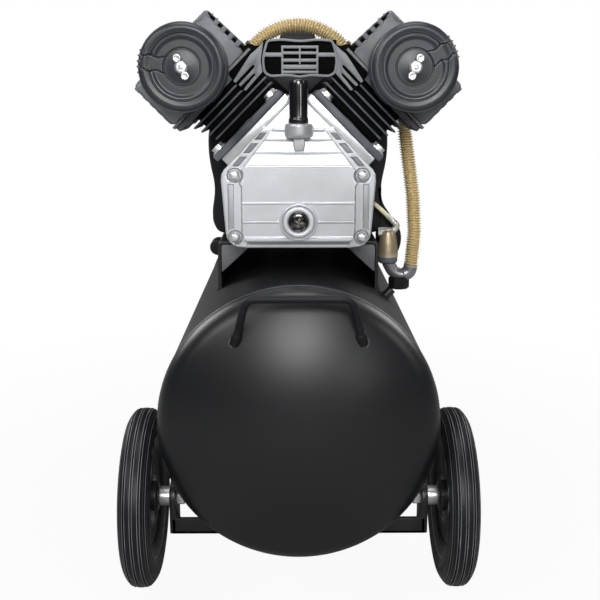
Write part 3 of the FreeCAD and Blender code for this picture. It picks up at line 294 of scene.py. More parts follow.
def route(stops, gap=2.0):
    """Straight runs joined by tangent arcs; a middle stop is (x, y, z, bend radius)."""
    spots = [np.array(stop[:3], float) for stop in stops]
    parts = [spots[0][None]]
    for index in range(1, len(spots) - 1):
        corner = spots[index]
        back = spots[index - 1] - corner
        ahead = spots[index + 1] - corner
        back, ahead = back / np.linalg.norm(back), ahead / np.linalg.norm(ahead)
        half = math.acos(np.clip(back @ ahead, -1, 1)) / 2
        bend = stops[index][3]
        line = (back + ahead) / np.linalg.norm(back + ahead)
        centre = corner + line * bend / math.sin(half)
        edge = back - (back @ line) * line
        edge /= np.linalg.norm(edge)
        turn = np.linspace(-1, 1, 17)[:, None] * (math.pi / 2 - half)
        parts.append(centre - bend * (np.cos(turn) * line + np.sin(turn) * edge))
        before = np.linalg.norm(parts[-1][[0, -1]] - spots[index - 1], axis=1)
        if before[0] > before[1]:
            parts[-1] = parts[-1][::-1]
    parts.append(spots[-1][None])
    return even(np.concatenate(parts), gap)


def lapped(size, lap):
    """Radius of a weld along its length s: size times 1 + 0.16 |sin(pi s / lap)|."""
    return lambda s, a: size * (1 + 0.16 * np.abs(np.sin(np.pi * s / lap)))


def bead(path, size, side=(0, 0, 1), lap=3.0):
    """Weld bead along a closed path: a ring that swells by a little at each lap of the torch."""
    path = path[:-1] if np.allclose(path[0], path[-1]) else path
    along = np.arange(len(path)) * np.linalg.norm(path[1] - path[0])
    wide = lapped(size, lap)(along, 0)[:, None, None]
    return path[:, None] + wide * spokes(frames(path, side, closed=True), angles(8))


def circle(radius, count=96):
    """Points on a circle about Z."""
    turn = angles(count)
    return np.stack([radius * np.cos(turn), radius * np.sin(turn), 0 * turn], -1)


# ---------------------------------------------------------------- skin: grids of points into one mesh
def grid_faces(index):
    """Four-cornered faces of an open grid, from the numbers of its points."""
    return np.stack([index[:-1, :-1], index[:-1, 1:], index[1:, 1:], index[1:, :-1]], -1).reshape(-1, 4)


class Skin:
    """Closed grids of points, gathered in millimetres, that become one piece."""

    def __init__(self):
        self.points, self.faces, self.total = [], [], 0

    def _keep(self, points, faces):
        """Keep points and faces, turned outwards by the sign of the volume they close in."""
        volume = 0.0
        for face in faces:
            for second in range(1, face.shape[1] - 1):
                a, b, c = points[face[:, 0]], points[face[:, second]], points[face[:, second + 1]]
                volume += np.einsum("ij,ij->", a, np.cross(b, c))
        if volume < 0:
            faces = [face[:, ::-1] for face in faces]
        used = np.unique(np.concatenate([face.ravel() for face in faces]))
        fresh = np.zeros(len(points), int)
        fresh[used] = np.arange(len(used)) + self.total
        self.points.append(points[used])
        self.faces += [fresh[face] for face in faces]
        self.total += len(used)
        return self

    def add(self, points, at=(0, 0, 0), turn=UPRIGHT, loop=False):
        """Grid whose columns come back to their start; its rows do too if it is a loop.

        An end row that shrinks to a point becomes a pole, and any other end row a flat face.
        """
        points = put(np.asarray(points, float), at, turn)
        rows, cols = points.shape[:2]
        index = np.arange(rows * cols).reshape(rows, cols)
        flat = points.reshape(-1, 3)
        renamed = np.arange(rows * cols)
        lower = index if loop else index[:-1]
        upper = np.roll(index, -1, 0) if loop else index[1:]
        faces = []
        if not loop:
            for row, step in ((0, -1), (-1, 1)):
                if np.ptp(points[row], axis=0).max() < 1e-6:
                    renamed[index[row]] = index[row, 0]
                else:
                    faces.append(index[row][::step][None])
        quads = np.stack([lower, np.roll(lower, -1, 1), np.roll(upper, -1, 1), upper], -1)
        quads = renamed[quads.reshape(-1, 4)]
        start, stop = quads[:, 0] == quads[:, 1], quads[:, 2] == quads[:, 3]
        for face in (quads[start][:, [0, 2, 3]], quads[stop][:, [0, 1, 2]], quads[~(start | stop)]):
            if len(face):
                faces.append(face)
        return self._keep(flat, faces)

    def add_relief(self, points, behind):
        """Open grid of a front face, closed by walls straight back to a plane y = behind."""
        rows, cols = points.shape[:2]
        index = np.arange(rows * cols).reshape(rows, cols)
        quads = grid_faces(index)
        edge = np.concatenate([index[0, :-1], index[:-1, -1], index[-1, :0:-1], index[:0:-1, 0]])
        flat = points.reshape(-1, 3)
        back = flat[edge].copy()
        back[:, 1] = behind
        rear = np.arange(len(edge)) + len(flat)
        walls = np.stack([np.roll(edge, -1), edge, rear, np.roll(rear, -1)], -1)
        return self._keep(np.concatenate([flat, back]), [quads, walls, rear[::-1][None]])

    def piece(self, name, slot, stands_for=(), body=MACHINE, finish="", crease=32):
        """Make the object, in metres, tie it to its body, give it the named finish or else its slot's, and
        hide the nodes it stands for.
        """
        mesh = bpy.data.meshes.new(name)
        faces = [row for face in self.faces for row in face.tolist()]
        mesh.from_pydata((np.concatenate(self.points) * MM).tolist(), [], faces)
        mesh.shade_smooth()
        mesh.set_sharp_from_angle(angle=math.radians(crease))
        mesh.materials.append(FINISHES[finish or slot])
        thing = bpy.data.objects.new(name, mesh)
        bpy.context.scene.collection.objects.link(thing)
        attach(thing, body)
        if stands_for:
            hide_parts(*stands_for)


# ---------------------------------------------------------------- shader wiring
class Wire:
    """A socket whose value the operators + - * / and ** turn into Math nodes."""

    def __init__(self, board, socket):
        self.board, self.socket = board, socket

    def maths(self, operation, *others):
        found = self.board.add("ShaderNodeMath", {"operation": operation}, [self, *others])
        return Wire(self.board, found.outputs[0])

    def __add__(self, other):
        return self.maths("ADD", other)

    def __sub__(self, other):
        return self.maths("SUBTRACT", other)

    def __rsub__(self, other):
        found = self.board.add("ShaderNodeMath", {"operation": "SUBTRACT"}, [other, self])
        return Wire(self.board, found.outputs[0])

    def __mul__(self, other):
        return self.maths("MULTIPLY", other)

    def __truediv__(self, other):
        return self.maths("DIVIDE", other)

    def __pow__(self, other):
        return self.maths("POWER", other)

    __radd__ = __add__
    __rmul__ = __mul__

    def clamped(self, low, high):
        """The value taken from low..high to 0..1 and held there."""
        found = self.board.add("ShaderNodeMapRange", {"clamp": True}, {
            "Value": self, "From Min": low, "From Max": high, "To Min": 0.0, "To Max": 1.0})
        return Wire(self.board, found.outputs["Result"])


class Nodes:
    """A node tree with a single way to add a node."""

    def __init__(self, tree):
        self.tree = tree
        tree.nodes.clear()

    def add(self, kind, settings=None, inputs=None):
        """Node of a kind, with its settings made first and its sockets then set or linked."""
        made = self.tree.nodes.new(kind)
        for name, value in (settings or {}).items():
            setattr(made, name, value)
        pairs = enumerate(inputs) if isinstance(inputs, list) else (inputs or {}).items()
        for key, value in pairs:
            socket = made.inputs[key]
            value = value.socket if isinstance(value, Wire) else value
            if isinstance(value, bpy.types.NodeSocket):
                self.tree.links.new(value, socket)
            elif isinstance(value, tuple) and len(value) == 3 and socket.type == "RGBA":
                socket.default_value = (*value, 1.0)
            else:
                socket.default_value = value
        return made


class Board(Nodes):
    """One material's nodes, round one Principled shader."""

    def __init__(self, name, **constants):
        self.material = bpy.data.materials.new(name)
        self.material.use_nodes = True
        super().__init__(self.material.node_tree)
        self.surface = self.add("ShaderNodeBsdfPrincipled", {}, constants)
        self.out = self.add("ShaderNodeOutputMaterial", {}, {"Surface": self.surface.outputs["BSDF"]})
        self.place = Wire(self, self.add("ShaderNodeTexCoord").outputs["Object"])

    def noise(self, scale, detail=3.0, roughness=0.55, place=None):
        """Grain: a noise value about 0.5 at so many cells a metre."""
        found = self.add("ShaderNodeTexNoise", {}, {
            "Vector": place or self.place, "Scale": scale, "Detail": detail, "Roughness": roughness})
        return Wire(self, found.outputs[0])

    def stretched(self, scales):
        """The place with each axis scaled, for grain that runs one way."""
        found = self.add("ShaderNodeMapping", {}, {"Vector": self.place, "Scale": scales})
        return Wire(self, found.outputs["Vector"])

    def mix(self, amount, first, second):
        """Colour between two colours."""
        found = self.add("ShaderNodeMix", {"data_type": "RGBA"}, {0: amount, 6: first, 7: second})
        return Wire(self, found.outputs[2])

    def axes(self):
        """The three parts of the place as separate values, in metres."""
        found = self.add("ShaderNodeSeparateXYZ", {}, {"Vector": self.place})
        return [Wire(self, socket) for socket in found.outputs]

    def edges(self, low=0.505, high=0.56):
        """Where the surface is convex, from 0 on the flat to 1 on an edge."""
        found = self.add("ShaderNodeNewGeometry")
        return Wire(self, found.outputs["Pointiness"]).clamped(low, high)

    def give(self, **values):
        """Link what varies over the surface to the shader."""
        for name, value in values.items():
            self.tree.links.new(value.socket, self.surface.inputs[name.replace("_", " ")])
        return self

    def bump(self, height, strength=0.2, distance=0.001):
        """Fine relief in the normal."""
        found = self.add("ShaderNodeBump", {}, {
            "Height": height, "Strength": strength, "Distance": distance})
        self.tree.links.new(found.outputs["Normal"], self.surface.inputs["Normal"])
        return self


def scaled(colour, share):
    """A colour made lighter or darker, held below white."""
    return tuple(min(value * share, 1.0) for value in colour)


def coated(name, base, worn, rough, spread, grain, depth, metal=0.0, coat=0.0, level=0.5, wear=0.35,
           streak=None, grime=0.5):
    """Paint, plastic, rubber or cast metal: mottled, uneven gloss, fine grain, rubbed edges, and hollows
    darkened as painted shade.
    """
    board = Board(name, **{"Metallic": metal, "Coat Weight": coat, "Coat Roughness": 0.12,
                           "Specular IOR Level": level})
    cloud = board.noise(14.0, 4.0)
    place = board.stretched(streak) if streak else None
    fine = board.noise(grain, 5.0, 0.6, place)
    shade = board.mix(cloud.clamped(0.3, 0.72), scaled(base, 0.86), scaled(base, 1.12))
    # painted shade: concave places are darkened towards a fifth of the base colour
    cavity_darkening = (1 - board.edges(0.40, 0.492)) * grime
    shade = board.mix(cavity_darkening, shade, scaled(base, 0.18))
    rubbed = board.edges() * cloud.clamped(0.25, 0.6) * wear
    colour = board.mix(rubbed, shade, worn)
    speck = fine.clamped(0.35, 0.75)
    board.give(Base_Color=board.mix(speck * (0.10 if metal > 0.3 else 0.025), colour, worn),
               Roughness=(cloud - 0.5) * spread + (fine - 0.5) * (spread * 0.6) + rough)
    board.bump(fine, 0.35, depth)
    return board.material


def gold_finish(name, lift=1.0):
    """Lacquered gold pipe: warm metal whose crests are brighter and whose roots are darker and browner, as
    painted shade between the ridges.
    """
    board = Board(name, Metallic=0.35, **{"Coat Weight": 0.15, "Coat Roughness": 0.2})
    cloud = board.noise(40.0, 3.0)
    crest = board.edges(0.46, 0.58)
    # lift above 1 makes a lighter copy of the gold, as painted light
    warm = board.mix(cloud.clamped(0.3, 0.7), scaled((0.70, 0.57, 0.33), lift),
                     scaled((0.82, 0.69, 0.43), lift))
    # painted shade: the less convex roots between the ridges are mixed to a dark brown
    board.give(Base_Color=board.mix(crest, scaled((0.42, 0.32, 0.15), lift), warm),
               Roughness=(cloud - 0.5) * 0.14 + 0.36)
    return board.bump(board.noise(1600.0), 0.2, 0.0002).material


def dial_finish(name, centres, radius):
    """Gauge face: white card with 41 black ticks round three quarters of a turn, and a thin inner ring."""
    board = Board(name, Roughness=0.5)
    x, _, z = board.axes()
    total = None
    for centre_x, centre_z in centres:
        across = x - centre_x
        up = z - centre_z
        far = (across * across + up * up) ** 0.5
        turn = across.maths("ARCTAN2", up)
        phase = (turn * (40 / math.radians(270))) + 100.0
        near = (phase.maths("FRACT") - 0.5).maths("ABSOLUTE")
        tick = near.clamped(0.36, 0.42) * (1 - turn.maths("ABSOLUTE").clamped(2.37, 2.39))
        band = far.clamped(radius * 0.70, radius * 0.72) * (1 - far.clamped(radius * 0.86, radius * 0.88))
        line = far.clamped(radius * 0.66, radius * 0.67) * (1 - far.clamped(radius * 0.685, radius * 0.695))
        here = 1 - far.clamped(radius, radius * 1.02)
        mark = (tick * band + line) * here
        total = mark if total is None else total + mark
    grain = board.noise(900.0)
    paper = board.mix(grain.clamped(0.3, 0.7), (0.80, 0.80, 0.77), (0.86, 0.86, 0.84))
    board.give(Base_Color=board.mix(total.clamped(0, 1), paper, (0.02, 0.02, 0.02)))
    return board.material


def lens_finish(name):
    """Sight glass: near-black glass over a pale gold star of oil light, drawn by angle and distance."""
    board = Board(name, Roughness=0.08, **{"Coat Weight": 0.8, "Coat Roughness": 0.04})
    x, _, z = board.axes()
    across, up = x - 0.0005, z - (CRANK + GLASS_UP) * MM
    far = (across * across + up * up) ** 0.5
    turn = across.maths("ARCTAN2", up)
    rays = (turn * 4.0 + board.noise(180.0) * 9.0).maths("COSINE") * 0.5 + 0.5
    star = (1 - far.clamped(0.0016, 0.0078)) * (rays * 0.8 + 0.2)
    glow = (star ** 1.6).clamped(0.05, 0.9) * board.noise(520.0).clamped(0.38, 0.62)
    board.give(Base_Color=board.mix(glow, (0.006, 0.006, 0.007), (0.46, 0.43, 0.35)))
    return board.bump(board.noise(300.0), 0.05, 0.0003).material


def foam_finish(name):
    """Open-cell filter foam: dark pores from a cell pattern."""
    board = Board(name, Roughness=0.9)
    cells = board.add("ShaderNodeTexVoronoi", {}, {"Vector": board.place, "Scale": 420.0})
    pore = Wire(board, cells.outputs["Distance"]).clamped(0.1, 0.6)
    board.give(Base_Color=board.mix(pore, (0.015, 0.015, 0.017), (0.07, 0.07, 0.075)))
    return board.bump(pore, 0.7, 0.001).material


# Colour, worn colour, roughness and its spread, grain per metre and its depth in metres, and the rest.
# A colour given as a name and a share is one of the colours to change.
COATINGS = {
    "tank_paint": (("tank", 1.0), (0.05, 0.05, 0.055), 0.37, 0.05, 700, 0.0002,
                   {"level": 0.42, "wear": 0.2, "grime": 0.2}),
    "tyre_rubber": ((0.0042, 0.0044, 0.0052), (0.26, 0.27, 0.29), 0.38, 0.14, 1100, 0.0004,
                    {"level": 0.22, "wear": 1.0}),
    "foot_rubber": ((0.010, 0.010, 0.011), (0.08, 0.08, 0.08), 0.72, 0.12, 900, 0.0006, {"level": 0.3}),
    "rim_plastic": ((0.005, 0.005, 0.006), (0.13, 0.135, 0.14), 0.38, 0.12, 800, 0.0004,
                    {"level": 0.3, "wear": 0.7}),
    "zinc_steel": ((0.66, 0.67, 0.68), (0.88, 0.88, 0.88), 0.32, 0.16, 1300, 0.0002,
                   {"metal": 0.8, "wear": 0.5, "grime": 0.8}),
    "cast_aluminium": (("alloy", 1.0), (0.80, 0.82, 0.84), 0.36, 0.10, 1500, 0.00025,
                       {"metal": 0.45, "wear": 0.55, "grime": 0.95}),
    "cast_iron_black": (("castings", 1.0), (0.22, 0.23, 0.25), 0.38, 0.14, 900, 0.0005,
                        {"level": 0.26, "wear": 1.0}),
    "plate_steel": ((0.05, 0.05, 0.055), (0.2, 0.2, 0.2), 0.40, 0.15, 900, 0.0003,
                    {"metal": 0.6, "streak": (1, 12, 1)}),
    "piston_aluminium": ((0.60, 0.61, 0.62), (0.8, 0.8, 0.8), 0.34, 0.12, 900, 0.0003,
                         {"metal": 1.0, "streak": (1, 1, 9)}),
    "black_plastic": ((0.0145, 0.017, 0.023), (0.20, 0.21, 0.23), 0.36, 0.10, 1200, 0.0002,
                      {"level": 0.5, "wear": 0.7, "grime": 0.95}),
    "brass": ((0.58, 0.42, 0.22), (0.85, 0.74, 0.48), 0.34, 0.14, 1200, 0.0002, {"metal": 0.7, "wear": 0.6}),
    "nylon_tube": ((0.72, 0.68, 0.42), (0.86, 0.83, 0.62), 0.32, 0.1, 700, 0.0002, {"coat": 0.3}),
    "motor_paint": ((0.005, 0.0053, 0.006), (0.16, 0.16, 0.17), 0.34, 0.12, 900, 0.0004,
                    {"level": 0.28, "wear": 0.6}),
    "knob_plastic": ((0.012, 0.012, 0.013), (0.12, 0.12, 0.12), 0.36, 0.12, 1200, 0.0003, {}),
    "red_plastic": ((0.50, 0.018, 0.014), (0.70, 0.12, 0.09), 0.34, 0.12, 1200, 0.0003, {}),
    "gauge_case": ((0.014, 0.014, 0.015), (0.14, 0.14, 0.14), 0.34, 0.1, 1200, 0.0003, {}),
    "needle_red": ((0.55, 0.02, 0.015), (0.75, 0.15, 0.1), 0.4, 0.1, 1200, 0.0002, {}),
    "bright_cast": (("alloy", 0.92), (0.90, 0.90, 0.91), 0.30, 0.10, 1100, 0.0002,
                    {"metal": 0.75, "streak": (1, 9, 1)}),
    "shaded_cast": (("alloy", 0.55), (0.5, 0.5, 0.52), 0.45, 0.12, 1200, 0.0004, {"metal": 0.3}),
    # painted shade: a darker copy of the alloy, for the breather boss
    "boss_cast": (("alloy", 0.72), (0.75, 0.76, 0.78), 0.34, 0.12, 1200, 0.0003,
                  {"metal": 0.45, "grime": 0.9}),
    # painted shade: a darker copy of the cast iron, for the finned barrels
    "fin_iron": ((0.0035, 0.0039, 0.005), (0.15, 0.16, 0.18), 0.42, 0.14, 900, 0.0005,
                 {"level": 0.22, "wear": 1.0}),
    # painted shade: near-black for pieces set into gaps and behind parts, where shade falls
    "black_gap": ((0.0010, 0.0011, 0.0013), (0.004, 0.004, 0.005), 0.7, 0.05, 700, 0.0001,
                  {"level": 0.05, "wear": 0.1}),
    "shade_plastic": ((0.0030, 0.0034, 0.0044), (0.05, 0.052, 0.06), 0.5, 0.08, 900, 0.0004,
                      {"level": 0.22, "wear": 0.3}),
    # painted shade: the near-black of a deep recess
    "deep_recess": ((0.006, 0.006, 0.007), (0.05, 0.05, 0.055), 0.6, 0.12, 1200, 0.0004,
                    {"level": 0.15, "wear": 0.1}),
    "gloss_tube": ((0.004, 0.004, 0.005), (0.1, 0.1, 0.1), 0.20, 0.03, 900, 0.00002,
                   {"level": 0.7, "coat": 0.4, "wear": 0.1}),
    "weld": ((0.010, 0.010, 0.011), (0.12, 0.12, 0.13), 0.38, 0.14, 500, 0.0008,
             {"level": 0.35, "wear": 0.5}),
    "aged_brass": ((0.085, 0.062, 0.032), (0.45, 0.36, 0.2), 0.36, 0.14, 900, 0.0003,
                   {"metal": 0.7, "wear": 0.5}),
    "dull_brass": ((0.33, 0.26, 0.165), (0.75, 0.66, 0.5), 0.38, 0.14, 900, 0.0004,
                   {"metal": 0.55, "wear": 0.6}),
    "pale_metal": ((0.58, 0.57, 0.52), (0.85, 0.85, 0.8), 0.30, 0.12, 1000, 0.0003,
                   {"metal": 0.5, "wear": 0.6}),
    "silver_elbow": ((0.20, 0.20, 0.215), (0.6, 0.6, 0.62), 0.30, 0.12, 900, 0.0004,
                     {"metal": 0.7, "wear": 0.6}),
    "satin_grey": ((0.11, 0.116, 0.13), (0.42, 0.43, 0.45), 0.34, 0.14, 1000, 0.0003,
                   {"level": 0.6, "wear": 0.6}),
    "grey_cast": ((0.060, 0.063, 0.069), (0.32, 0.33, 0.35), 0.40, 0.14, 1000, 0.0004,
                  {"level": 0.45, "wear": 0.7}),
}


def make_finishes(colours):
    """Every finish by its slot name, plus a few that only new pieces use."""
    made = {
        "filter_foam": foam_finish("filter_foam"),
        "gold_pipe": gold_finish("gold_pipe"),
        # painted light: a lighter copy of the gold pipe, for the delivery pipe
        "bright_gold": gold_finish("bright_gold", 1.2),
        "sight_glass": lens_finish("sight_glass"),
        "dial": dial_finish("dial", [(x * MM, CONTROL_UP * MM) for x in GAUGES.values()], 0.0182),
    }
    for name, (base, *rest, extra) in COATINGS.items():
        if isinstance(base[0], str):
            base = scaled(getattr(colours, base[0]), base[1])
        made[name] = coated(name, base, *rest, **extra)
    return made


FINISHES = {}


# ---------------------------------------------------------------- sizes and colours to change
class CompressorSizes(bpy.types.PropertyGroup):
    """Sizes of the details that the CAD leaves to the looks."""
    fin_pitch: bpy.props.FloatProperty(
        name="Pipe fin pitch", description="Distance between the spiral ridges of a finned pipe",
        default=3.0 * MM, min=0.001, unit="LENGTH")
    weld_size: bpy.props.FloatProperty(
        name="Weld size", description="Radius of a weld bead", default=2.2 * MM, min=0.0005, unit="LENGTH")
    tread_depth: bpy.props.FloatProperty(
        name="Tread depth", description="Depth of a tyre's grooves", default=2.0 * MM, min=0.0,
        unit="LENGTH")
    fin_thick: bpy.props.FloatProperty(
        name="Cylinder fin", description="Thickness of a cylinder's fin", default=2.3 * MM, min=0.001,
        unit="LENGTH")


class CompressorColours(bpy.types.PropertyGroup):
    """Main colours of the machine."""
    tank: bpy.props.FloatVectorProperty(
        name="Tank", description="Colour of the tank's paint", subtype="COLOR", size=3,
        default=(0.0044, 0.0048, 0.0056), min=0, max=1)
    castings: bpy.props.FloatVectorProperty(
        name="Castings", description="Colour of the painted cylinders and heads", subtype="COLOR", size=3,
        default=(0.0060, 0.0066, 0.0082), min=0, max=1)
    alloy: bpy.props.FloatVectorProperty(
        name="Alloy", description="Colour of the bare aluminium", subtype="COLOR", size=3,
        default=(0.53, 0.545, 0.566), min=0, max=1)
    backdrop: bpy.props.FloatVectorProperty(
        name="Backdrop", description="Colour of the floor and the background", subtype="COLOR", size=3,
        default=(0.93, 0.93, 0.93), min=0, max=1)


def sizes():
    return bpy.context.scene.compressor_sizes


# ---------------------------------------------------------------- tank, handles and running gear
def dome_profile():
    """Outside of a dished end as (radius, depth): a crown of 300 mm, a knuckle of 30 mm, a straight skirt."""
    crown, knuckle = 300.0, 30.0
    depth = reach("rear_tank_head")[1][1] + SHELL_END
    lean = math.asin((TANK_RADIUS - knuckle) / (crown - knuckle))
    rise = (crown - knuckle) * math.cos(lean)
    skirt = depth - (crown - rise)
    round_part = np.linspace(0, math.pi / 2 - lean, 14)
    knuckle_line = np.stack([TANK_RADIUS - knuckle + knuckle * np.cos(round_part),
                             skirt + knuckle * np.sin(round_part)], -1)
    crown_part = np.linspace(lean, 0, 22)
    crown_line = np.stack([crown * np.sin(crown_part), skirt - rise + crown * np.cos(crown_part)], -1)
    return np.concatenate([[[TANK_RADIUS, 0]], knuckle_line, crown_line[1:]])


def on_tank(x, y):
    """Height of the tank's upper skin over a place."""
    return TANK_AXIS + np.sqrt(np.maximum(TANK_RADIUS ** 2 - np.asarray(x + 0 * y, float) ** 2, 0))


class COMPRESSOR_OT_tank(bpy.types.Operator):
    """Roll the tank's shell, press its two ends and lay the weld beads"""
    bl_idname = "compressor.tank"
    bl_label = "Tank"

    def execute(self, context):
        half = abs(SHELL_END)
        wall = 3.0
        shell = Skin()
        profile = rounded([(TANK_RADIUS - wall, -half), (TANK_RADIUS - 1.2, -half, 0.6),
                           (TANK_RADIUS - 0.2, -half + 5, 1.5), (TANK_RADIUS - 0.2, half - 5, 1.5),
                           (TANK_RADIUS - 1.2, half, 0.6), (TANK_RADIUS - wall, half)])
        shell.add(revolve(profile, 160), (0, 0, TANK_AXIS), TO_BACK, loop=True)
        low, top = 346.0, 360.0
        neck = rounded([(8.2, low), (13, low), (13, top, 1.2), (8.2, top)])
        shell.add(revolve(neck, 48), (0, CONTROL, 0), loop=True)
        radial = rounded([(3.0, 146), (5.4, 146), (5.4, 160, 1.0), (3.0, 160)])
        shell.add(revolve(radial, 48), (0, VALVE_Y, TANK_AXIS), about("Y", 44.5), loop=True)
        drain_seat = rounded([(8.2, 60), (13, 60), (13, 46, 1.2), (8.2, 46)])
        shell.add(revolve(drain_seat, 48), (DRAIN[0], DRAIN[1], 0), loop=True)
        shell.piece("tank_shell_rolled", "tank_paint", ["tank_shell"])
        for name, turn, way in (("front", TO_FRONT, -1), ("rear", TO_BACK, 1)):
            end = Skin().add(revolve(dome_profile(), 160), (0, way * half, TANK_AXIS), turn)
            end.piece(f"{name}_dished_end", "tank_paint", [f"{name}_tank_head"])
        seam = Skin()
        size = sizes().weld_size / MM
        for way in (-1, 1):
            ring = put(circle(TANK_RADIUS - size * 0.55, 480), (0, way * half, TANK_AXIS), TO_BACK)
            seam.add(bead(ring, size * 0.72, (0, 1, 0), 4.2), loop=True)
        turn = angles(72)
        px, py = 13.6 * np.cos(turn), CONTROL + 13.6 * np.sin(turn)
        seam.add(bead(np.stack([px, py, on_tank(px, py)], -1), size, (0, 0, 1), 3.4), loop=True)
        line = np.linspace(-half + 6, half - 6, 220)
        lean = math.radians(-52)
        path = np.stack([TANK_RADIUS * math.sin(lean) + 0 * line, line,
                         TANK_AXIS + TANK_RADIUS * math.cos(lean + math.pi) + 0 * line], -1)
        seam.add(tube(path, lapped(size * 0.6, 3.6), (0, 0, 1), 8))
        seam.piece("tank_welds", "tank_paint", finish="weld")
        return {"FINISHED"}


class COMPRESSOR_OT_handles(bpy.types.Operator):
    """Bend the two carrying handles and weld them to the tank through short sleeves"""
    bl_idname = "compressor.handles"
    bl_label = "Carrying handles"

    def execute(self, context):
        rods, welds = Skin(), Skin()
        for way in (-1, 1):
            foot, bar = (way * 351.0, 303.0), (way * 368.0, 352.0)
            path = route([(-64, foot[0], foot[1]), (-52, bar[0], bar[1], 11), (52, bar[0], bar[1], 11),
                          (64, foot[0], foot[1])], 1.5)
            rods.add(tube(path, 4.0, (0, 1, 0.3), 20))
            for side in (-1, 1):
                low = np.array([side * 64.4, foot[0] - way * 0.6, foot[1] - 1])
                high = np.array([side * 60.6, foot[0] * 0.72 + bar[0] * 0.28, foot[1] * 0.72 + bar[1] * 0.28])
                line = low + (high - low) * np.linspace(0, 1, 15)[:, None]
                flare = lambda s, a: 5.5 + 0 * a - 1.4 * ease(11.5, 14.3, s)
                rods.add(tube(line, flare, (0, 1, 0), 24))
                ring = circle(5.6, 40)
                welds.add(bead(put(ring, low + [0, 0, 1.2], about("X", -way * 70)), 1.7, (0, 1, 0), 3.0),
                          loop=True)
        rods.piece("bent_handles", "motor_paint", ["carry_handles"], finish="shade_plastic")
        welds.piece("handle_welds", "tank_paint", finish="weld")
        return {"FINISHED"}


def tyre_profile():
    """Tyre in section (radius, height): tread r = R - 12|t|^3.4 with three grooves, and ribbed side walls."""
    deep = sizes().tread_depth / MM
    h = np.linspace(0.4, 32.6, 131)
    t = (h - 16.5) / 16.5
    crown = WHEEL_RADIUS - 0.36 - 12 * np.abs(t) ** 3.4
    for spot in (8.6, 16.5, 24.4):
        crown = crown - deep * hump(spot, 0.55, 0.5, h) + 0.35 * hump(spot, 1.5, 0.5, h)
    crown = crown - deep * 0.5 * (hump(3.4, 0.35, 0.5, h) + hump(29.6, 0.35, 0.5, h))
    tread = np.stack([crown, h], -1)
    wall = rounded([(68, 3), (71, 1.2, 1.5), (75, 0.6, 1), (76, 0, 0.6), (78, 0, 0.6), (79, 0.7, 0.6),
                    (83, 0.9, 0.6), (84, 0.2, 0.5), (85.6, 0.2, 0.5), (87, 0.5)])
    far = wall[::-1] * [1, -1] + [0, 33]
    return np.concatenate([wall, tread[2:-2], far])


class COMPRESSOR_OT_wheels(bpy.types.Operator):
    """Mould the grooved tyres and the spoked plastic rims"""
    bl_idname = "compressor.wheels"
    bl_label = "Wheels"

    def execute(self, context):
        for side, way in SIDES:
            turn = TO_RIGHT if way > 0 else TO_LEFT
            centre = (way * 158.0, WHEEL[1], WHEEL_RADIUS)
            Skin().add(revolve(tyre_profile(), 144), centre, turn, loop=True).piece(f"{side}_grooved_tyre",
                                                                                    "tyre_rubber",
                                                                                    [f"{side}_tyre"],
                                                                                    f"{side}_wheel")
            rim = Skin()
            hub = rounded([(6.2, 1), (15, 1, 1), (17, 3, 1.5), (17, 24, 1), (15, 26, 1), (6.2, 26)], True)
            rim.add(revolve(hub, 64), centre, turn, loop=True)
            ring = rounded([(53.5, 9, 2), (59, 5, 2), (68, 2.6, 0.6), (68, 30.4, 0.6), (59, 28, 2),
                            (53.5, 24, 2), (56, 17, 2)], True)
            rim.add(revolve(ring, 112), centre, turn, loop=True)
            radial = np.linspace(15.5, 55, 34)
            reach_out = np.clip((radial ** 2 + 35 ** 2 - 13.2 ** 2) / (2 * radial * 35), -1, 1)
            half = np.pi / 6 + 0.012 - np.arccos(reach_out)
            section = rounded([(-1, -4.2, 1.2), (1, -4.2, 1.2), (1, 4.2, 1.2), (-1, 4.2, 1.2)], True, 2)
            for index in range(6):
                swing = half[:, None] * section[None, :, 0] + np.pi / 3 * index
                height = 13 + 2.6 * np.sin(np.pi * (radial - 15) / 40)[:, None] + section[None, :, 1]
                rim.add(np.stack([radial[:, None] * np.cos(swing), radial[:, None] * np.sin(swing), height],
                                 -1),
                        centre, turn)
            rim.piece(f"{side}_spoked_rim", "rim_plastic", [f"{side}_rim"], f"{side}_wheel")
        return {"FINISHED"}


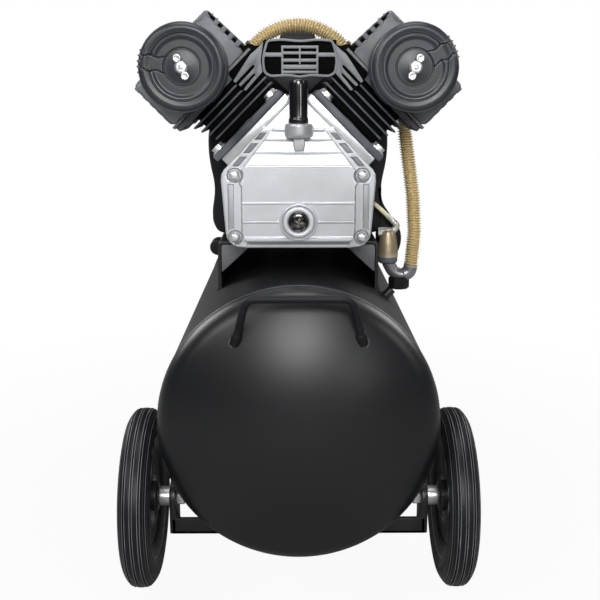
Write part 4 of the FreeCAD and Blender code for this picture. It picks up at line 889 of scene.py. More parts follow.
class COMPRESSOR_OT_running_gear(bpy.types.Operator):
    """Make the wheel arms, axle bolts, spacers, foot strap, rubber feet and drain"""
    bl_idname = "compressor.running_gear"
    bl_label = "Running gear"

    def execute(self, context):
        arms, steel, strap, rubber = Skin(), Skin(), Skin(), Skin()
        y, z = WHEEL[1], WHEEL_RADIUS
        for side, way in SIDES:
            turn = TO_RIGHT if way > 0 else TO_LEFT
            for low, high in (((40, y - 20, 62.5), (143, y - 15, 81.5)),
                              ((40, y - 20, 62.5), (143, y + 8, 67.0))):
                bar = brick(low, high, 1.3)
                bar[..., 0] = np.maximum(bar[..., 0], np.sqrt(np.maximum(
                    (TANK_RADIUS - 2) ** 2 - (TANK_AXIS - bar[..., 2]) ** 2, 0)))
                arms.add(bar * [way, 1, 1])
            gusset = rounded([(126, 64, 1), (141, 64, 1), (141, 99, 1), (137.5, 94, 4), (134.5, 84, 4)], True)
            arms.add(upright(slab(gusset * [way, 1], y - 19.6, y - 14, 0.8)))
            ear = rounded([(-20, -37.5, 2), (20, -37.5, 2), (20, 0), (19, 7.5), (14.1, 14.1), (7.5, 18.6),
                           (0, 20),
                           (-7.5, 18.6), (-14.1, 14.1), (-19, 7.5), (-20, 0)], True)
            plate = slab(ear, 0, 7, 1.0)[..., [2, 0, 1]] * [way, 1, 1]
            arms.add(plate, (way * 138, y, z))
            steel.add(turned([(6.1, 0), (10.4, 0, 0.8), (11, 1.4, 0.8), (11, 12, 0.8), (10.4, 13.4, 0.8),
                                       (6.1, 13.4)], 48, closed=True), (way * 145.05, y, z), turn, loop=True)
            steel.add(nut(10.5, 8, 0, 1.0), (way * 130, y, z), turn)
            steel.add(nut(11, 6, 0, 1.0, 2.0), (way * 184.4, y, z), turn)
            steel.add(revolve([(0, 0), (6, 0), (6, 57), (0, 57)], 32), (way * 128, y, z), turn)
        arms.piece("welded_wheel_arms", "tank_paint", ["wheel_brackets"])
        steel.piece("axle_fittings", "zinc_steel", ["axle_hardware"])
        line = rounded([(-92, 101), (-92, 22, 6), (92, 22, 6), (92, 101), (88, 101), (88, 26, 4),
                        (-88, 26, 4),
                        (-88, 101)], True)
        sheet = upright(slab(line, 234, 266, 0.8))
        strap.add(sheet)
        strap.piece("foot_strap", "tank_paint", ["rear_foot_frame"])
        for way in (-1, 1):
            rubber.add(turned([(0, 0), (16, 0, 1.5), (19, 2.5, 1.5), (17.6, 8, 1), (18, 9, 0.8),
                                        (16, 20, 1), (15, 22, 1), (9, 22, 0.5), (9, 22.1), (0, 22.1)], 56),
                       (way * 72, 250, 0))
            rubber.add(nut(7.5, 4.4, 0, 0.8, 1.0), (way * 72, 250, 26.1))
        rubber.piece("rubber_feet_moulded", "foot_rubber", ["rubber_feet"])
        drain = Skin()
        drain.add(nut(10.4, 6, 0, 0.8), DRAIN, DOWNWARD)
        drain.add(turned([(3, 0), (7.9, 0), (7.9, 6), (6.4, 8, 0.8), (6, 9, 0.5), (6, 15, 0.6), (3, 15)], 40,
                         closed=True), DRAIN, DOWNWARD, loop=True)
        drain.piece("drain_valve_turned", "brass", ["drain_valve"])
        knurl = lambda r, h, a: r - 0.5 * (r > 9.5) * (0.5 + 0.5 * np.cos(a * 24))
        Skin().add(turned([(0, 15.4), (9, 15.4, 1), (11, 17.4, 1), (11, 25, 1), (9, 27, 1), (0, 27)],
                           144, knurl), DRAIN, DOWNWARD).piece("drain_knob_knurled", "brass", ["drain_knob"],
                                                               "drain_tap")
        return {"FINISHED"}


class COMPRESSOR_OT_saddle(bpy.types.Operator):
    """Fold the saddle's channel, weld it to the tank and add its corner gussets"""
    bl_idname = "compressor.saddle"
    bl_label = "Motor saddle"

    def execute(self, context):
        low, high = reach("motor_saddle")
        top, half = high[2], high[0]
        foot = on_tank(half, 0) - 0.3
        line = rounded([(-half, foot), (-half, top, 7), (half, top, 7), (half, foot), (half - 4, foot),
                        (half - 4, top - 4, 4), (-half + 4, top - 4, 4), (-half + 4, foot)], True, 5)
        saddle = Skin().add(upright(slab(line, low[1], high[1], 0.7)))
        saddle.piece("folded_saddle", "tank_paint", ["motor_saddle"])
        extra = Skin()
        for way in (-1, 1):
            for y in (low[1] + 1.0, high[1] - 5.0):
                corner = rounded([(half - 4.2, top - 4.2), (half - 40, top - 4.2, 3),
                                  (half - 4.2, top - 37, 3)],
                                 True)
                extra.add(upright(slab(corner * [way, 1], y, y + 4, 0.8)))
        extra.piece("saddle_gussets", "tank_paint", finish="grey_cast")
        welds = Skin()
        for way in (-1, 1):
            line = np.linspace(low[1] + 4, high[1] - 4, 130)
            path = np.stack([way * (half + 1.2) + 0 * line, line, on_tank(half + 1.2, line) + 0.6], -1)
            welds.add(tube(path, lapped(2.0, 3.4), (0, 0, 1), 8))
        welds.piece("saddle_welds", "tank_paint", finish="weld")
        bolts = Skin()
        for x in (-52, 52):
            for y in (-178, -160, -52, 76):
                bolts.add(nut(5.6, 4.2, 0, 0.8, 2.0), (x, y, top + 8))
        bolts.piece("saddle_bolts", "zinc_steel")
        return {"FINISHED"}


# ---------------------------------------------------------------- pump
COVER_EDGE = np.array([(-76, 60), (-75, 66), (-73, 71), (-70, 74.6), (-66, 77.2), (-60, 78.6), (-4, 83),
                       (3, 82.4),
                       (8, 79.6), (52, 38)], float)
SCREWS = [(-68.5, 2), (68.5, 2), (-68.5, -65), (68.5, -65)]


def cover_relief(x, up):
    """How far the cover's face stands out, in mm, over a place about the crank axis.

    Three terraces at the top, one broad panel below them, raised lines, a bright ledge and a low lip;
    recesses along the slanted shoulders and the lower sides, and round wells about the screws.
    """
    shoulder = np.interp(up, [-70, -64, -10, 0, 40, 52], [54, 60, 60, 66, 35, 26])
    inside = 1 - ease(shoulder - 0.2, shoulder + 1.2, np.abs(x))
    steps = ((10.4, 11.4), (24.4, 25.4), (38.0, 39.0))
    terrace = 7.0 - sum(0.6 * ease(low, high, up) for low, high in steps)
    lean = 1.7 * np.clip((up - 11.5) / 13.8, 0, 3) * ease(10.9, 12, up)
    lines = sum(1.3 * hump(spot, 0.7, 0.5, up) for spot in (11.9, 25.7, 39.3))
    ridges = sum(0.9 * hump(spot, 0.5, 0.6, up) for spot in (-27.0, -47.2))
    ledge = 1.6 * hump(-66.4, 0.9, 2.2, up) - 5.2 * (1 - ease(-72.5, -69.0, up))
    glass = ease(20.5, 21.5, np.hypot(x, up - GLASS_UP))
    face = inside * (terrace - lean - lines + ridges * glass + ledge)
    slots = np.zeros_like(face)
    edge = np.interp(up, COVER_EDGE[:, 0], COVER_EDGE[:, 1])
    band = hump(0, 2.9, 0.8, np.abs(x) - (shoulder + edge) / 2 - 0.6)
    for low, high in ((11.5, 21.0), (25.5, 35.0), (39.5, 46.0)):
        slots = slots + band * ease(low, low + 0.8, up) * (1 - ease(high, high + 0.8, up)) * 4.6
    strip = hump(72.6, 2.6, 0.7, np.abs(x)) * ease(-57, -56, up) * (1 - ease(-8, -7, up)) * 3.0
    wells = sum(3.2 * (1 - ease(7.2, 8.4, np.hypot(x - px, up - pz))) for px, pz in SCREWS)
    around = sum(1.0 - ease(8.6, 10.2, np.hypot(x - px, up - pz)) for px, pz in SCREWS)
    around = np.clip(around, 0, 1)
    return face * (1 - around) - slots * (1 - around) - strip * (1 - around) - wells


class COMPRESSOR_OT_cover(bpy.types.Operator):
    """Cast the terraced crankcase cover with its bosses, screws, sight glass and breather"""
    bl_idname = "compressor.cover"
    bl_label = "Crankcase cover"

    def execute(self, context):
        flange = CASE_FRONT - 8.6
        up = np.unique(np.concatenate([np.linspace(-76, 52, 170), COVER_EDGE[:, 0]]))
        edge = np.interp(up, COVER_EDGE[:, 0], COVER_EDGE[:, 1])
        u = np.linspace(-1, 1, 221)
        x = edge[:, None] * u[None]
        z = up[:, None] + 0 * x
        out = cover_relief(x, z)
        gap = np.minimum(edge[:, None] - np.abs(x), np.minimum(52.6 - z, z + 76.6))
        out = out - 1.4 * (1 - ease(-0.2, 1.8, gap))
        cover = Skin().add_relief(np.stack([x, flange - out, z + CRANK], -1), CASE_FRONT - 0.6)
        boss = rounded([(10.9, -4), (10.9, 3.6), (12.2, 6.4, 1.2), (15.6, 6.4, 1), (16.7, 5.2, 0.4),
                        (17.2, 2.6, 0.3),
                        (17.9, 2.6, 0.3), (18.4, 5.4, 0.4), (19.6, 5.2, 0.6), (20.6, 0, 1), (20.6, -4)])
        cover.add(revolve(boss, 96), (0, CASE_FRONT - 14.9, CRANK + GLASS_UP), TO_FRONT, loop=True)
        neck = rounded([(0, 42.2), (12.4, 42.2), (14.5, 45, 1), (14.5, 54.5, 1), (13.6, 56.6, 0.8),
                        (0, 56.6)])
        boss_skin = Skin()
        boss_skin.add(revolve(neck, 64), (0, CASE_FRONT - 15, CRANK))
        lug = brick((-7, -6, 28), (7, 6, 44), 2.0)
        lug[..., 0] *= 0.78 + 0.22 * (lug[..., 2] - 28) / 16
        boss_skin.add(lug, (0.6, CASE_FRONT - 10.6, CRANK))
        # painted shade: the boss takes the darker copy of the alloy
        boss_skin.piece("breather_boss", "cast_aluminium", finish="boss_cast")
        cover.add(brick((-15.2, -6.4, 44.2), (15.2, 8, 55.6), 2.2), (0.6, CASE_FRONT - 12.4, CRANK))
        cover.add(brick((-28, -3.0, 48.6), (28, 6, 51.9), 1.3), (0, CASE_FRONT - 10, CRANK))
        cover.piece("terraced_cover", "cast_aluminium", ["crankcase_cover"])
        dark, strips = Skin(), Skin()
        for way in (-1, 1):
            # painted shade: dark grey slabs lie in the slanted slots of the cover
            for low, top in ((12.4, 21.4), (26.4, 35.4), (40.4, 46.4)):
                ups = np.array([low, top])
                mid = (np.interp(ups, [0, 40, 52], [66, 35, 26]) + np.interp(ups, COVER_EDGE[:, 0],
                                                                             COVER_EDGE[:, 1])) / 2
                mid = mid + 0.6
                quad = np.array([(mid[0] - 3, low), (mid[0] + 3, low), (mid[1] + 3, top), (mid[1] - 3, top)])
                dark.add(upright(slab(quad * [way, 1], flange + 2.6, flange + 6, 0.3)), (0, 0, CRANK))
            strips.add(brick((way * 72.6 - 2.9, flange + 1.9, -56.5), (way * 72.6 + 2.9, flange + 6, -7.6),
                             0.6),
                       (0, 0, CRANK))
        dark.piece("cover_slots", "cast_aluminium", finish="grey_cast")
        strips.piece("cover_side_strips", "cast_aluminium", finish="shaded_cast")
        screws = Skin()
        for px, pz in SCREWS:
            at = (px, flange + 1.2, CRANK + pz)
            head = rounded([(0, 5.0), (2.6, 4.9, 1), (4.6, 4.0, 1), (5.5, 2.4, 0.8), (5.6, 0.6), (3.0, 0),
                            (3.0, -18),
                            (0, -18)])
            screws.add(revolve(head, 40), at, TO_FRONT)
        screws.piece("cover_screws_headed", "zinc_steel", ["cover_screws"])
        glass = Skin().add(turned([(0, 0), (10.85, 0), (10.85, 8.2, 0.6), (9.6, 8.6, 0.6), (9.0, 7.6, 0.5),
                                            (6, 8.3, 2), (0, 8.6)], 72),
                           (0, CASE_FRONT - 10, CRANK + GLASS_UP), TO_FRONT)
        glass.piece("sight_glass_lens", "sight_glass", ["sight_glass"])
        tube_line = rounded([(0, 44), (8, 44), (8, 57.0), (10.6, 57.2, 0.4), (10.8, 61.4, 0.8),
                             (9.9, 62.4, 0.6),
                             (9.75, 63.5), (9.9, 80), (9.9, 97.5, 1), (9.2, 101.2, 1.4), (7.8, 101.9, 0.5),
                             (7.4, 101.4, 0.4), (7.2, 99, 0.6), (0, 98.6)])
        Skin().add(revolve(tube_line, 64), (0, CASE_FRONT - 15, CRANK)).piece("breather_tube",
                                                                              "black_plastic",
                                                                              ["oil_breather"], "breather",
                                                                              finish="gloss_tube")
        return {"FINISHED"}


class COMPRESSOR_OT_crankcase(bpy.types.Operator):
    """Cast the crankcase behind its cover, with its machined cylinder seats, ribs and feet"""
    bl_idname = "compressor.crankcase"
    bl_label = "Crankcase"

    def execute(self, context):
        case = Skin()
        deck, lip = 70.8, 61.0

        def at(across, out):
            return (out - across) * ROOT_HALF, (across + out) * ROOT_HALF
        blocks = ([(66, -76, 5), (76.5, -64, 6), (76.5, 13.5, 1)],
                  [(*at(-43, lip), 1), (*at(-43, deck), 1), (*at(50, deck), 1)])
        for right in blocks:
            left = [(-x, up, ease_by) for x, up, ease_by in reversed(right)]
            line = rounded(right + left, True, 3)
            case.add(upright(slab(line, CASE_FRONT + 0.6, CASE_BACK, 1.6)), (0, 0, CRANK))
        for way in (-1, 1):
            for y in np.linspace(CASE_FRONT + 20, CASE_BACK - 12, 4):
                case.add(brick((way * 70 - 9, y - 2, CRANK - 62), (way * 70 + 9, y + 2, CRANK + 2), 1.2))
        case.add(brick((-62, -190, 381), (62, CASE_BACK, 389), 2))
        case.add(turned([(0, 0), (34, 0, 2), (34, 8, 2), (26, 9, 1), (24, 2), (0, 2)], 72),
                 (0, CASE_BACK - 8, CRANK), TO_BACK)
        case.piece("crankcase_casting", "cast_aluminium", ["crankcase"])
        seats = Skin()
        for side, way in SIDES:
            spans = sorted((-way * -45, -way * 52))
            seats.add(on_bank(brick((spans[0], CASE_FRONT - BANK, lip), (spans[1], CASE_BACK - BANK, 71.9),
                                    1.2), way))
        seats.piece("cylinder_seats", "cast_aluminium", finish="bright_cast")
        return {"FINISHED"}


class COMPRESSOR_OT_cylinders(bpy.types.Operator):
    """Cast the two finned cylinders"""
    bl_idname = "compressor.cylinders"
    bl_label = "Cylinders"

    def execute(self, context):
        thick = sizes().fin_thick / MM
        core = Skin()
        for side, way in SIDES:
            barrel = Skin()
            barrel.add(on_bank(brick((-50, -44, 72.1), (50, 44, 80), 2.2), way))
            barrel.add(on_bank(revolve([(0, 74), (33, 74), (33, 126), (0, 126)], 64), way))
            for index in range(5):
                low = 89.0 + 8 * index
                ends = sorted((way * (34.5 + 0.28 * (low - 89) + 0.6 * index), -way * (50 + 0.6 * index)))
                barrel.add(on_bank(brick((ends[0], -40, low), (ends[1], 40, low + thick), 1.15), way))
            ends = sorted((way * 33, -way * 45))
            # painted shade: a near-black block between the fins stands for the shade at their roots
            core.add(on_bank(brick((ends[0], -34.5, 80.2), (ends[1], 34.5, 122.5), 3), way))
            barrel.add(on_bank(brick((-56, -40, 122.6), (56, 40, 128.5), 1.6), way))
            # painted shade: the barrels take the darker copy of the cast iron
            barrel.piece(f"{side}_finned_cylinder", "cast_iron_black", [f"{side}_cylinder"],
                         finish="fin_iron")
        core.piece("cylinder_fin_roots", "cast_iron_black", finish="black_gap")
        bolts = Skin()
        for side, way in SIDES:
            for across in (-39.5, 39.5):
                for deep in (-35, 35):
                    bolts.add(on_bank(put(nut(7.2, 5.4, 0, 0.9, 1.6), (across, deep, 80.0)), way))
            for across in (-48, 48):
                for deep in (-32, 32):
                    bolts.add(on_bank(put(nut(7.2, 5.4, 0, 0.9, 1.2), (across, deep, 182.0)), way))
        bolts.piece("cylinder_bolts", "zinc_steel", ["hex_bolts"])
        return {"FINISHED"}


class COMPRESSOR_OT_heads(bpy.types.Operator):
    """Cast the two cylinder heads with their side ribs and bolt pads"""
    bl_idname = "compressor.heads"
    bl_label = "Cylinder heads"

    def execute(self, context):
        dark = Skin()
        for side_name, way in SIDES:
            head = Skin()
            inner = -way
            box = brick((-54.0, -40.6, 131.7), (54.0, 40.6, 190.9), 6.5, 5)
            side = np.where(box[..., 0] * inner > 0, 0.955, 1.064)
            box[..., 0] *= side * (1 + 0.01 * (1 - ease(131, 190, box[..., 2])))
            head.add(on_bank(box, way))
            face = sorted((inner * 51.4, -inner * 55))
            head.add(on_bank(brick((face[0], -41.9, 131.6), (face[1], 41.9, 187), 2.4), way))
            for out in (142.4, 152.6, 162.8, 173.0, 184.4):
                lean = 2.6 * (out - 137) / 54
                thick = 2.9 if out < 180 else 5.9
                reach_in = sorted((inner * 38, inner * (57.4 - lean)))
                head.add(on_bank(brick((reach_in[0], -41.8, out - thick), (reach_in[1], 41.8, out + thick),
                                       1.2 if out < 180 else 4.6, 4), way))
                reach_out = sorted((-inner * 40, -inner * 57.9))
                head.add(on_bank(brick((reach_out[0], -38.0, out - 3.6), (reach_out[1], 38.0, out + 3.6),
                                       1.4),
                                 way))
            for index in range(7):
                x = -36 + 12 * index
                head.add(on_bank(brick((x - 1.6, -38, 186), (x + 1.6, 38, 190.9), 1.2), way))
            # painted shade: near-black bricks fill the gaps between the side ribs
            gaps = sorted((inner * 51.0, inner * 54.4))
            dark.add(on_bank(brick((gaps[0], -41.2, 138), (gaps[1], 41.2, 186), 0.6), way))
            head.piece(f"{side_name}_ribbed_head", "cast_iron_black", [f"{side_name}_head"])
        dark.piece("head_rib_gaps", "cast_iron_black", finish="black_gap")
        return {"FINISHED"}


def cap_face(radius, turn, outer, duct_at):
    """Height of a filter cap's face below its front, in mm, over (radius, angle).

    A rolled outer ring, a groove at two thirds, a shallow dish with an inner ring, and a duct that
    runs from the inner ring to the rim at one angle, so that ring and duct look like a keyhole.
    """
    r = radius / outer
    roll = 3.0 * ease(0.84, 1.0, r) ** 2 + 1.1 * (1 - ease(0.72, 0.86, r))
    groove = 1.5 * hump(0.735, 0.010, 0.020, r)
    dish = 1.6 * (1 - ease(0.60, 0.70, r)) - 1.3 * (1 - ease(0.10, 0.42, r))
    ring = 0.9 * hump(0.42, 0.012, 0.02, r)
    off = np.abs((turn - duct_at + np.pi) % (2 * np.pi) - np.pi) * radius
    half = 7.2 + 1.1 * np.sin(r * 19)
    rail = hump(half, 0.5, 0.7, off) * ease(0.40, 0.44, r) * (1 - ease(0.9, 0.97, r))
    channel = (1 - ease(half - 0.5, half + 0.4, off)) * ease(0.40, 0.45, r) * (1 - ease(0.9, 0.96, r))
    return roll + (groove + dish) * (1 - channel) + ring + channel * 1.1 + rail


class COMPRESSOR_OT_filters(bpy.types.Operator):
    """Mould the two air filter housings and caps, and cast their wing nuts"""
    bl_idname = "compressor.filters"
    bl_label = "Air filters"

    def execute(self, context):
        low, high = reach("filter_caps")
        front = low[1]
        outer = (high[2] - low[2]) / 2
        z = (high[2] + low[2]) / 2
        x = high[0] - outer
        base_y = reach("crankcase")[0][1] - 1.4
        depth = base_y - front
        caps, bases, studs = Skin(), Skin(), Skin()
        for side, way in SIDES:
            at = (way * x, base_y, z)
            duct = math.radians(172 if way < 0 else 28)
            turn = angles(240)[None]
            radii = np.concatenate([np.linspace(2.8, outer - 1.2, 88), [outer - 0.5]])[:, None]
            drop = cap_face(radii, turn, outer, duct)
            face = np.stack([radii * np.cos(turn), radii * np.sin(turn), depth - drop], -1)
            teeth = 0.9 * np.clip(np.cos(turn * 44), 0, 1) ** 0.5
            near = hump(duct, 0.42, 0.04, (turn - duct + np.pi) % (2 * np.pi) - np.pi + duct)
            wall_h = np.array([depth - 4.2, depth - 5.2, depth - 6.2, depth - 15, depth - 16, 23.2, 22.6])
            wall_h = wall_h[:, None]
            wall_r = np.array([outer - 0.15, outer, outer, outer, outer, outer, outer - 0.5])[:, None]
            cut = np.array([0.6, 1.0, 1.0, 1.0, 0, 0, 0])[:, None]
            wall_r = wall_r - cut * near * (1.3 - teeth)
            wall = np.stack([wall_r * np.cos(turn), wall_r * np.sin(turn), wall_h + 0 * turn], -1)
            for index in range(-2, 3):
                tooth = brick((outer - 6.0, -1.0, depth - 13),
                              (outer + 0.8, 1.0, depth - 1.6 - 0.4 * abs(index)), 0.8)
                caps.add(put(tooth, (0, 0, 0), about("Z", math.degrees(duct) + 7.2 * index)), at, TO_FRONT)
            inside = revolve([(outer - 3, 22.6), (outer - 3, depth - 9), (outer - 8, depth - 6),
                              (2.8, depth - 5)],
                             240)
            caps.add(np.concatenate([face, wall, inside]), at, TO_FRONT, loop=True)
            shell = rounded([(7, -11.9), (11.8, -11.9), (11.8, -0.2, 0.8), (outer - 4, 0, 1),
                             (outer - 0.4, 3, 3),
                             (outer - 0.4, 14.8, 0.5), (outer - 1.4, 15.4, 0.4), (outer - 1.4, 16.6, 0.4),
                             (outer - 0.4, 17.2, 0.4), (outer - 0.4, 22), (outer - 3, 22), (outer - 3, 3, 1),
                             (7, 3)], True, 3)
            bases.add(revolve(shell, 112), at, TO_FRONT, loop=True)
            studs.add(turned([(0, -3), (2.5, -3), (2.5, 52.6, 0.6), (0, 53)], 20), at, TO_FRONT)
            bases.add(brick((-8, -2, -3), (8, 2, 0.5), 0.8), at, TO_FRONT)
        caps.piece("filter_caps_moulded", "black_plastic", ["filter_caps"])
        bases.piece("filter_housings", "black_plastic", ["filter_bases"])
        studs.piece("filter_studs", "zinc_steel")
        for side, way in SIDES:
            spot = (way * x, front + 0.4, z)
            tilt = about("Y", -66 * way) @ TO_FRONT
            wing = Skin()
            hub = rounded([(2.6, 0), (7.2, 0, 0.6), (7.4, 2.2, 0.8), (5.6, 6.0, 1.2), (4.6, 6.5, 0.5),
                           (2.6, 6.5)],
                          True)
            wing.add(revolve(hub, 48), spot, tilt, loop=True)
            for reach_x in (-9.4, 9.4):
                lobe = turned([(0, 3.5), (3.3, 3.5, 0.6), (4.3, 4.4, 0.6), (4.3, 6.6, 0.8), (3.4, 7.7, 0.8),
                                        (1.6, 7.2, 0.8), (0, 7.1)], 36)
                wing.add(put(lobe, (reach_x, 0, 0)), spot, tilt)
                wing.add(brick((min(reach_x, reach_x * 0.5), -2.2, 2.2),
                               (max(reach_x, reach_x * 0.5), 2.2, 6.0),
                               1.2), spot, tilt)
            wing.piece(f"{side}_wing_nut_cast", "zinc_steel", [f"{side}_wing_nut"], f"{side}_filter_nut")
        return {"FINISHED"}


class COMPRESSOR_OT_air_guide(bpy.types.Operator):
    """Mould the louvred air guide between the cylinders, with its side wings"""
    bl_idname = "compressor.air_guide"
    bl_label = "Air guide"

    def execute(self, context):
        y = reach("air_guide")[0][1]
        guide, dark = Skin(), Skin()
        lift = 1.5

        def band(line, wide, low_y, high_y):
            """Rounded strip carried round a closed line drawn as (across, up)."""
            line = rounded(line, True, 5)
            out = outward(line)
            cut_line = rounded([(-wide, low_y, 0.5), (wide, low_y, 0.5), (wide, high_y, 0.5),
                                (-wide, high_y, 0.5)], True, 2)
            flat = line[:, None] + out[:, None] * cut_line[None, :, :1]
            return np.stack([flat[..., 0], cut_line[None, :, 1] + 0 * flat[..., 0], flat[..., 1]], -1)
        rim = [(-33.6, 141, 3), (-18, 142.2, 6), (0, 140.2, 8), (18, 142.2, 6), (33.6, 141, 3),
               (36.6, 132, 4),
               (38.6, 121, 4), (37.2, 109, 4), (31, 105.2, 3), (12, 106.2, 4), (0, 104.4, 3), (-12, 106.2, 4),
               (-31, 105.2, 3), (-37.2, 109, 4), (-38.6, 121, 4), (-36.6, 132, 4)]
        guide.add(band(rim, 1.25, y, y + 5), (lift, 0, CRANK), loop=True)
        for up, half, tall in ((134.6, 19.6, 1.5), (128.6, 18.6, 1.5), (121.2, 18.6, 1.7), (114.4, 18.8, 2.3),
                               (109.2, 19.4, 1.5)):
            guide.add(brick((-half, y + 0.3, up - tall), (half, y + 4.4, up + tall), 0.9), (lift, 0, CRANK))
        guide.add(brick((-0.8, y + 0.1, 117), (0.8, y + 4, 135), 0.5), (lift, 0, CRANK))
        for way in (-1, 1):
            low_x, high_x = sorted((way * 17.6, way * 37.4))
            guide.add(brick((low_x, y + 0.2, 124.6), (high_x, y + 4.2, 129.0), 1.2), (lift, 0, CRANK))
            low_x, high_x = sorted((way * 17.2, way * 19.4))
            guide.add(brick((low_x, y + 0.5, 106), (high_x, y + 4.2, 136), 0.8), (lift, 0, CRANK))
        # painted highlight: the black plastic louvres take a grey finish for the light on their bars
        guide.piece("louvred_guide", "black_plastic", ["air_guide"], finish="grey_cast")
        skirt = Skin()
        for way in (-1, 1):
            line = rounded([(0.2, 89.5), (11, 89.5, 3), (27, 103.4, 4), (31, 106, 1), (0.2, 106)], True)
            skirt.add(upright(slab(line * [way, 1], y + 0.8, y + 4.2, 0.6)), (0, 0, CRANK))
        skirt.piece("guide_skirt", "black_plastic", finish="shade_plastic")
        dark.add(brick((-37, y + 4.6, CRANK + 104), (40, y + 9, CRANK + 142.4), 2))
        wings = Skin()
        for way in (-1, 1):
            wing = rounded([(36.5, 139, 1), (45.3, 131, 1), (50, 127.4, 2), (59, 114.4, 1), (68.4, 100, 1),
                            (66, 98, 1), (50, 114.4), (47.2, 116.8, 0.8), (45.6, 115.2, 0.8), (48, 111.8),
                            (63, 96.4, 1), (60.8, 94.4, 1), (52.6, 102.2), (46.4, 108, 0.6),
                            (44.8, 106.8, 0.6),
                            (50.5, 100.4), (57.6, 91.5, 1), (55.4, 89.8, 1), (44, 102.5, 2), (37.5, 109.5, 1),
                            (39.5, 121, 1), (37.6, 132, 1)], True, 2)
            wings.add(upright(slab(wing * [way, 1], y + 1.0, y + 3.4, 0.5, 2)), (0, 0, CRANK))
            shade = rounded([(36, 138), (44, 136), (53, 138.6, 1), (62, 131, 1), (70, 118, 1), (73, 106, 1),
                             (60, 90, 1), (36, 104)], True)
            dark.add(upright(slab(shade * [way, 1], y + 4.0, y + 7.4, 0.5)), (0, 0, CRANK))
        wings.piece("guide_wings", "black_plastic", finish="satin_grey")
        dark.piece("guide_shadow", "black_plastic", finish="black_gap")
        return {"FINISHED"}


# ---------------------------------------------------------------- air lines and valves
def bank_spot(across, out, way):
    """Point of the middle plane of a bank from its place across and out of the crank axis."""
    return np.array([way * (out - across) * ROOT_HALF, BANK, CRANK + (across + out) * ROOT_HALF])


class COMPRESSOR_OT_pipes(bpy.types.Operator):
    """Bend the finned crossover and delivery pipes, their nuts and the unloader tube"""
    bl_idname = "compressor.pipes"
    bl_label = "Air pipes"

    def execute(self, context):
        pitch = sizes().fin_pitch / MM

        def ridge(s, a):
            """Pipe with one spiral ridge: radius 4.9 + 1.84 times a narrowed cosine of s/pitch + a/2pi."""
            wave = 0.5 + 0.5 * np.cos(2 * np.pi * s / pitch + a)
            return 4.9 + 1.84 * wave ** 1.5
        port = 131.0
        start, stop = bank_spot(56, port, -1), bank_spot(56, port, 1)
        corner = CRANK + port * math.sqrt(2)
        path = route([start, (0, BANK, corner, (corner - 619.3) / (math.sqrt(2) - 1)), stop], 0.4)
        cross = Skin().add(tube(path, lambda s, a: 1.26 * ridge(s, a), (0, 1, 0), 28))
        cross.piece("crossover_pipe_finned", "gold_pipe", ["crossover_pipe"], crease=60)
        line = route([(120, BANK + 42.4, 552), (121, -139, 551, 14), (126, -143, 500, 60),
                      (135, -157, 430, 80),
                      (137, VALVE_Y, 385, 50), (134.0, VALVE_Y, 346)], 0.4)
        drop = Skin().add(tube(line, lambda s, a: 1.3 * ridge(s, a), (1, 0, 0), 28))
        # painted light: the delivery pipe takes the lighter copy of the gold
        drop.piece("delivery_pipe_finned", "gold_pipe", ["delivery_pipe"], finish="bright_gold", crease=60)
        nuts = Skin()
        for way in (-1, 1):
            turn = about("Y", 45 * way) @ (TO_RIGHT if way < 0 else TO_LEFT)
            nuts.add(nut(9.4, 5.0, 5.0, 1.0), bank_spot(58.2, port, way), turn, loop=True)
        nuts.add(nut(10.9, 8.8, 6.9, 1.0), (120, BANK + 42.5, 552), TO_BACK, loop=True)
        nuts.piece("pipe_nuts_turned", "brass", ["pipe_nuts"], finish="aged_brass")
        small = route([(109.5, VALVE_Y, 386.5), (117.5, VALVE_Y, 395.5, 4), (91.5, VALVE_Y, 419.5, 9),
                       (88, -107, 419, 40),
                       (86, 110, 410, 60), (60, 160, 400, 30), (10, CONTROL - 38, 400, 14),
                       (10, CONTROL - 16.4, 400)], 1.5)
        nylon = Skin().add(tube(small, 2.6, (0, 0, 1), 14))
        nylon.piece("unloader_line", "nylon_tube", ["unloader_tube"])
        sleeve = route([(109.0, VALVE_Y, 386), (117.5, VALVE_Y, 395.5, 4), (104.5, VALVE_Y, 407.5)], 0.7)
        grip = Skin().add(tube(sleeve, lambda s, a: 3.7 - 0.6 * hump(17, 0.6, 0.4, s) - 0.5 * ease(19, 21,
                                                                                                   s) + 0 * a,
                               (0, 1, 0), 24))
        grip.piece("unloader_ferrule", "nylon_tube", finish="pale_metal")
        return {"FINISHED"}


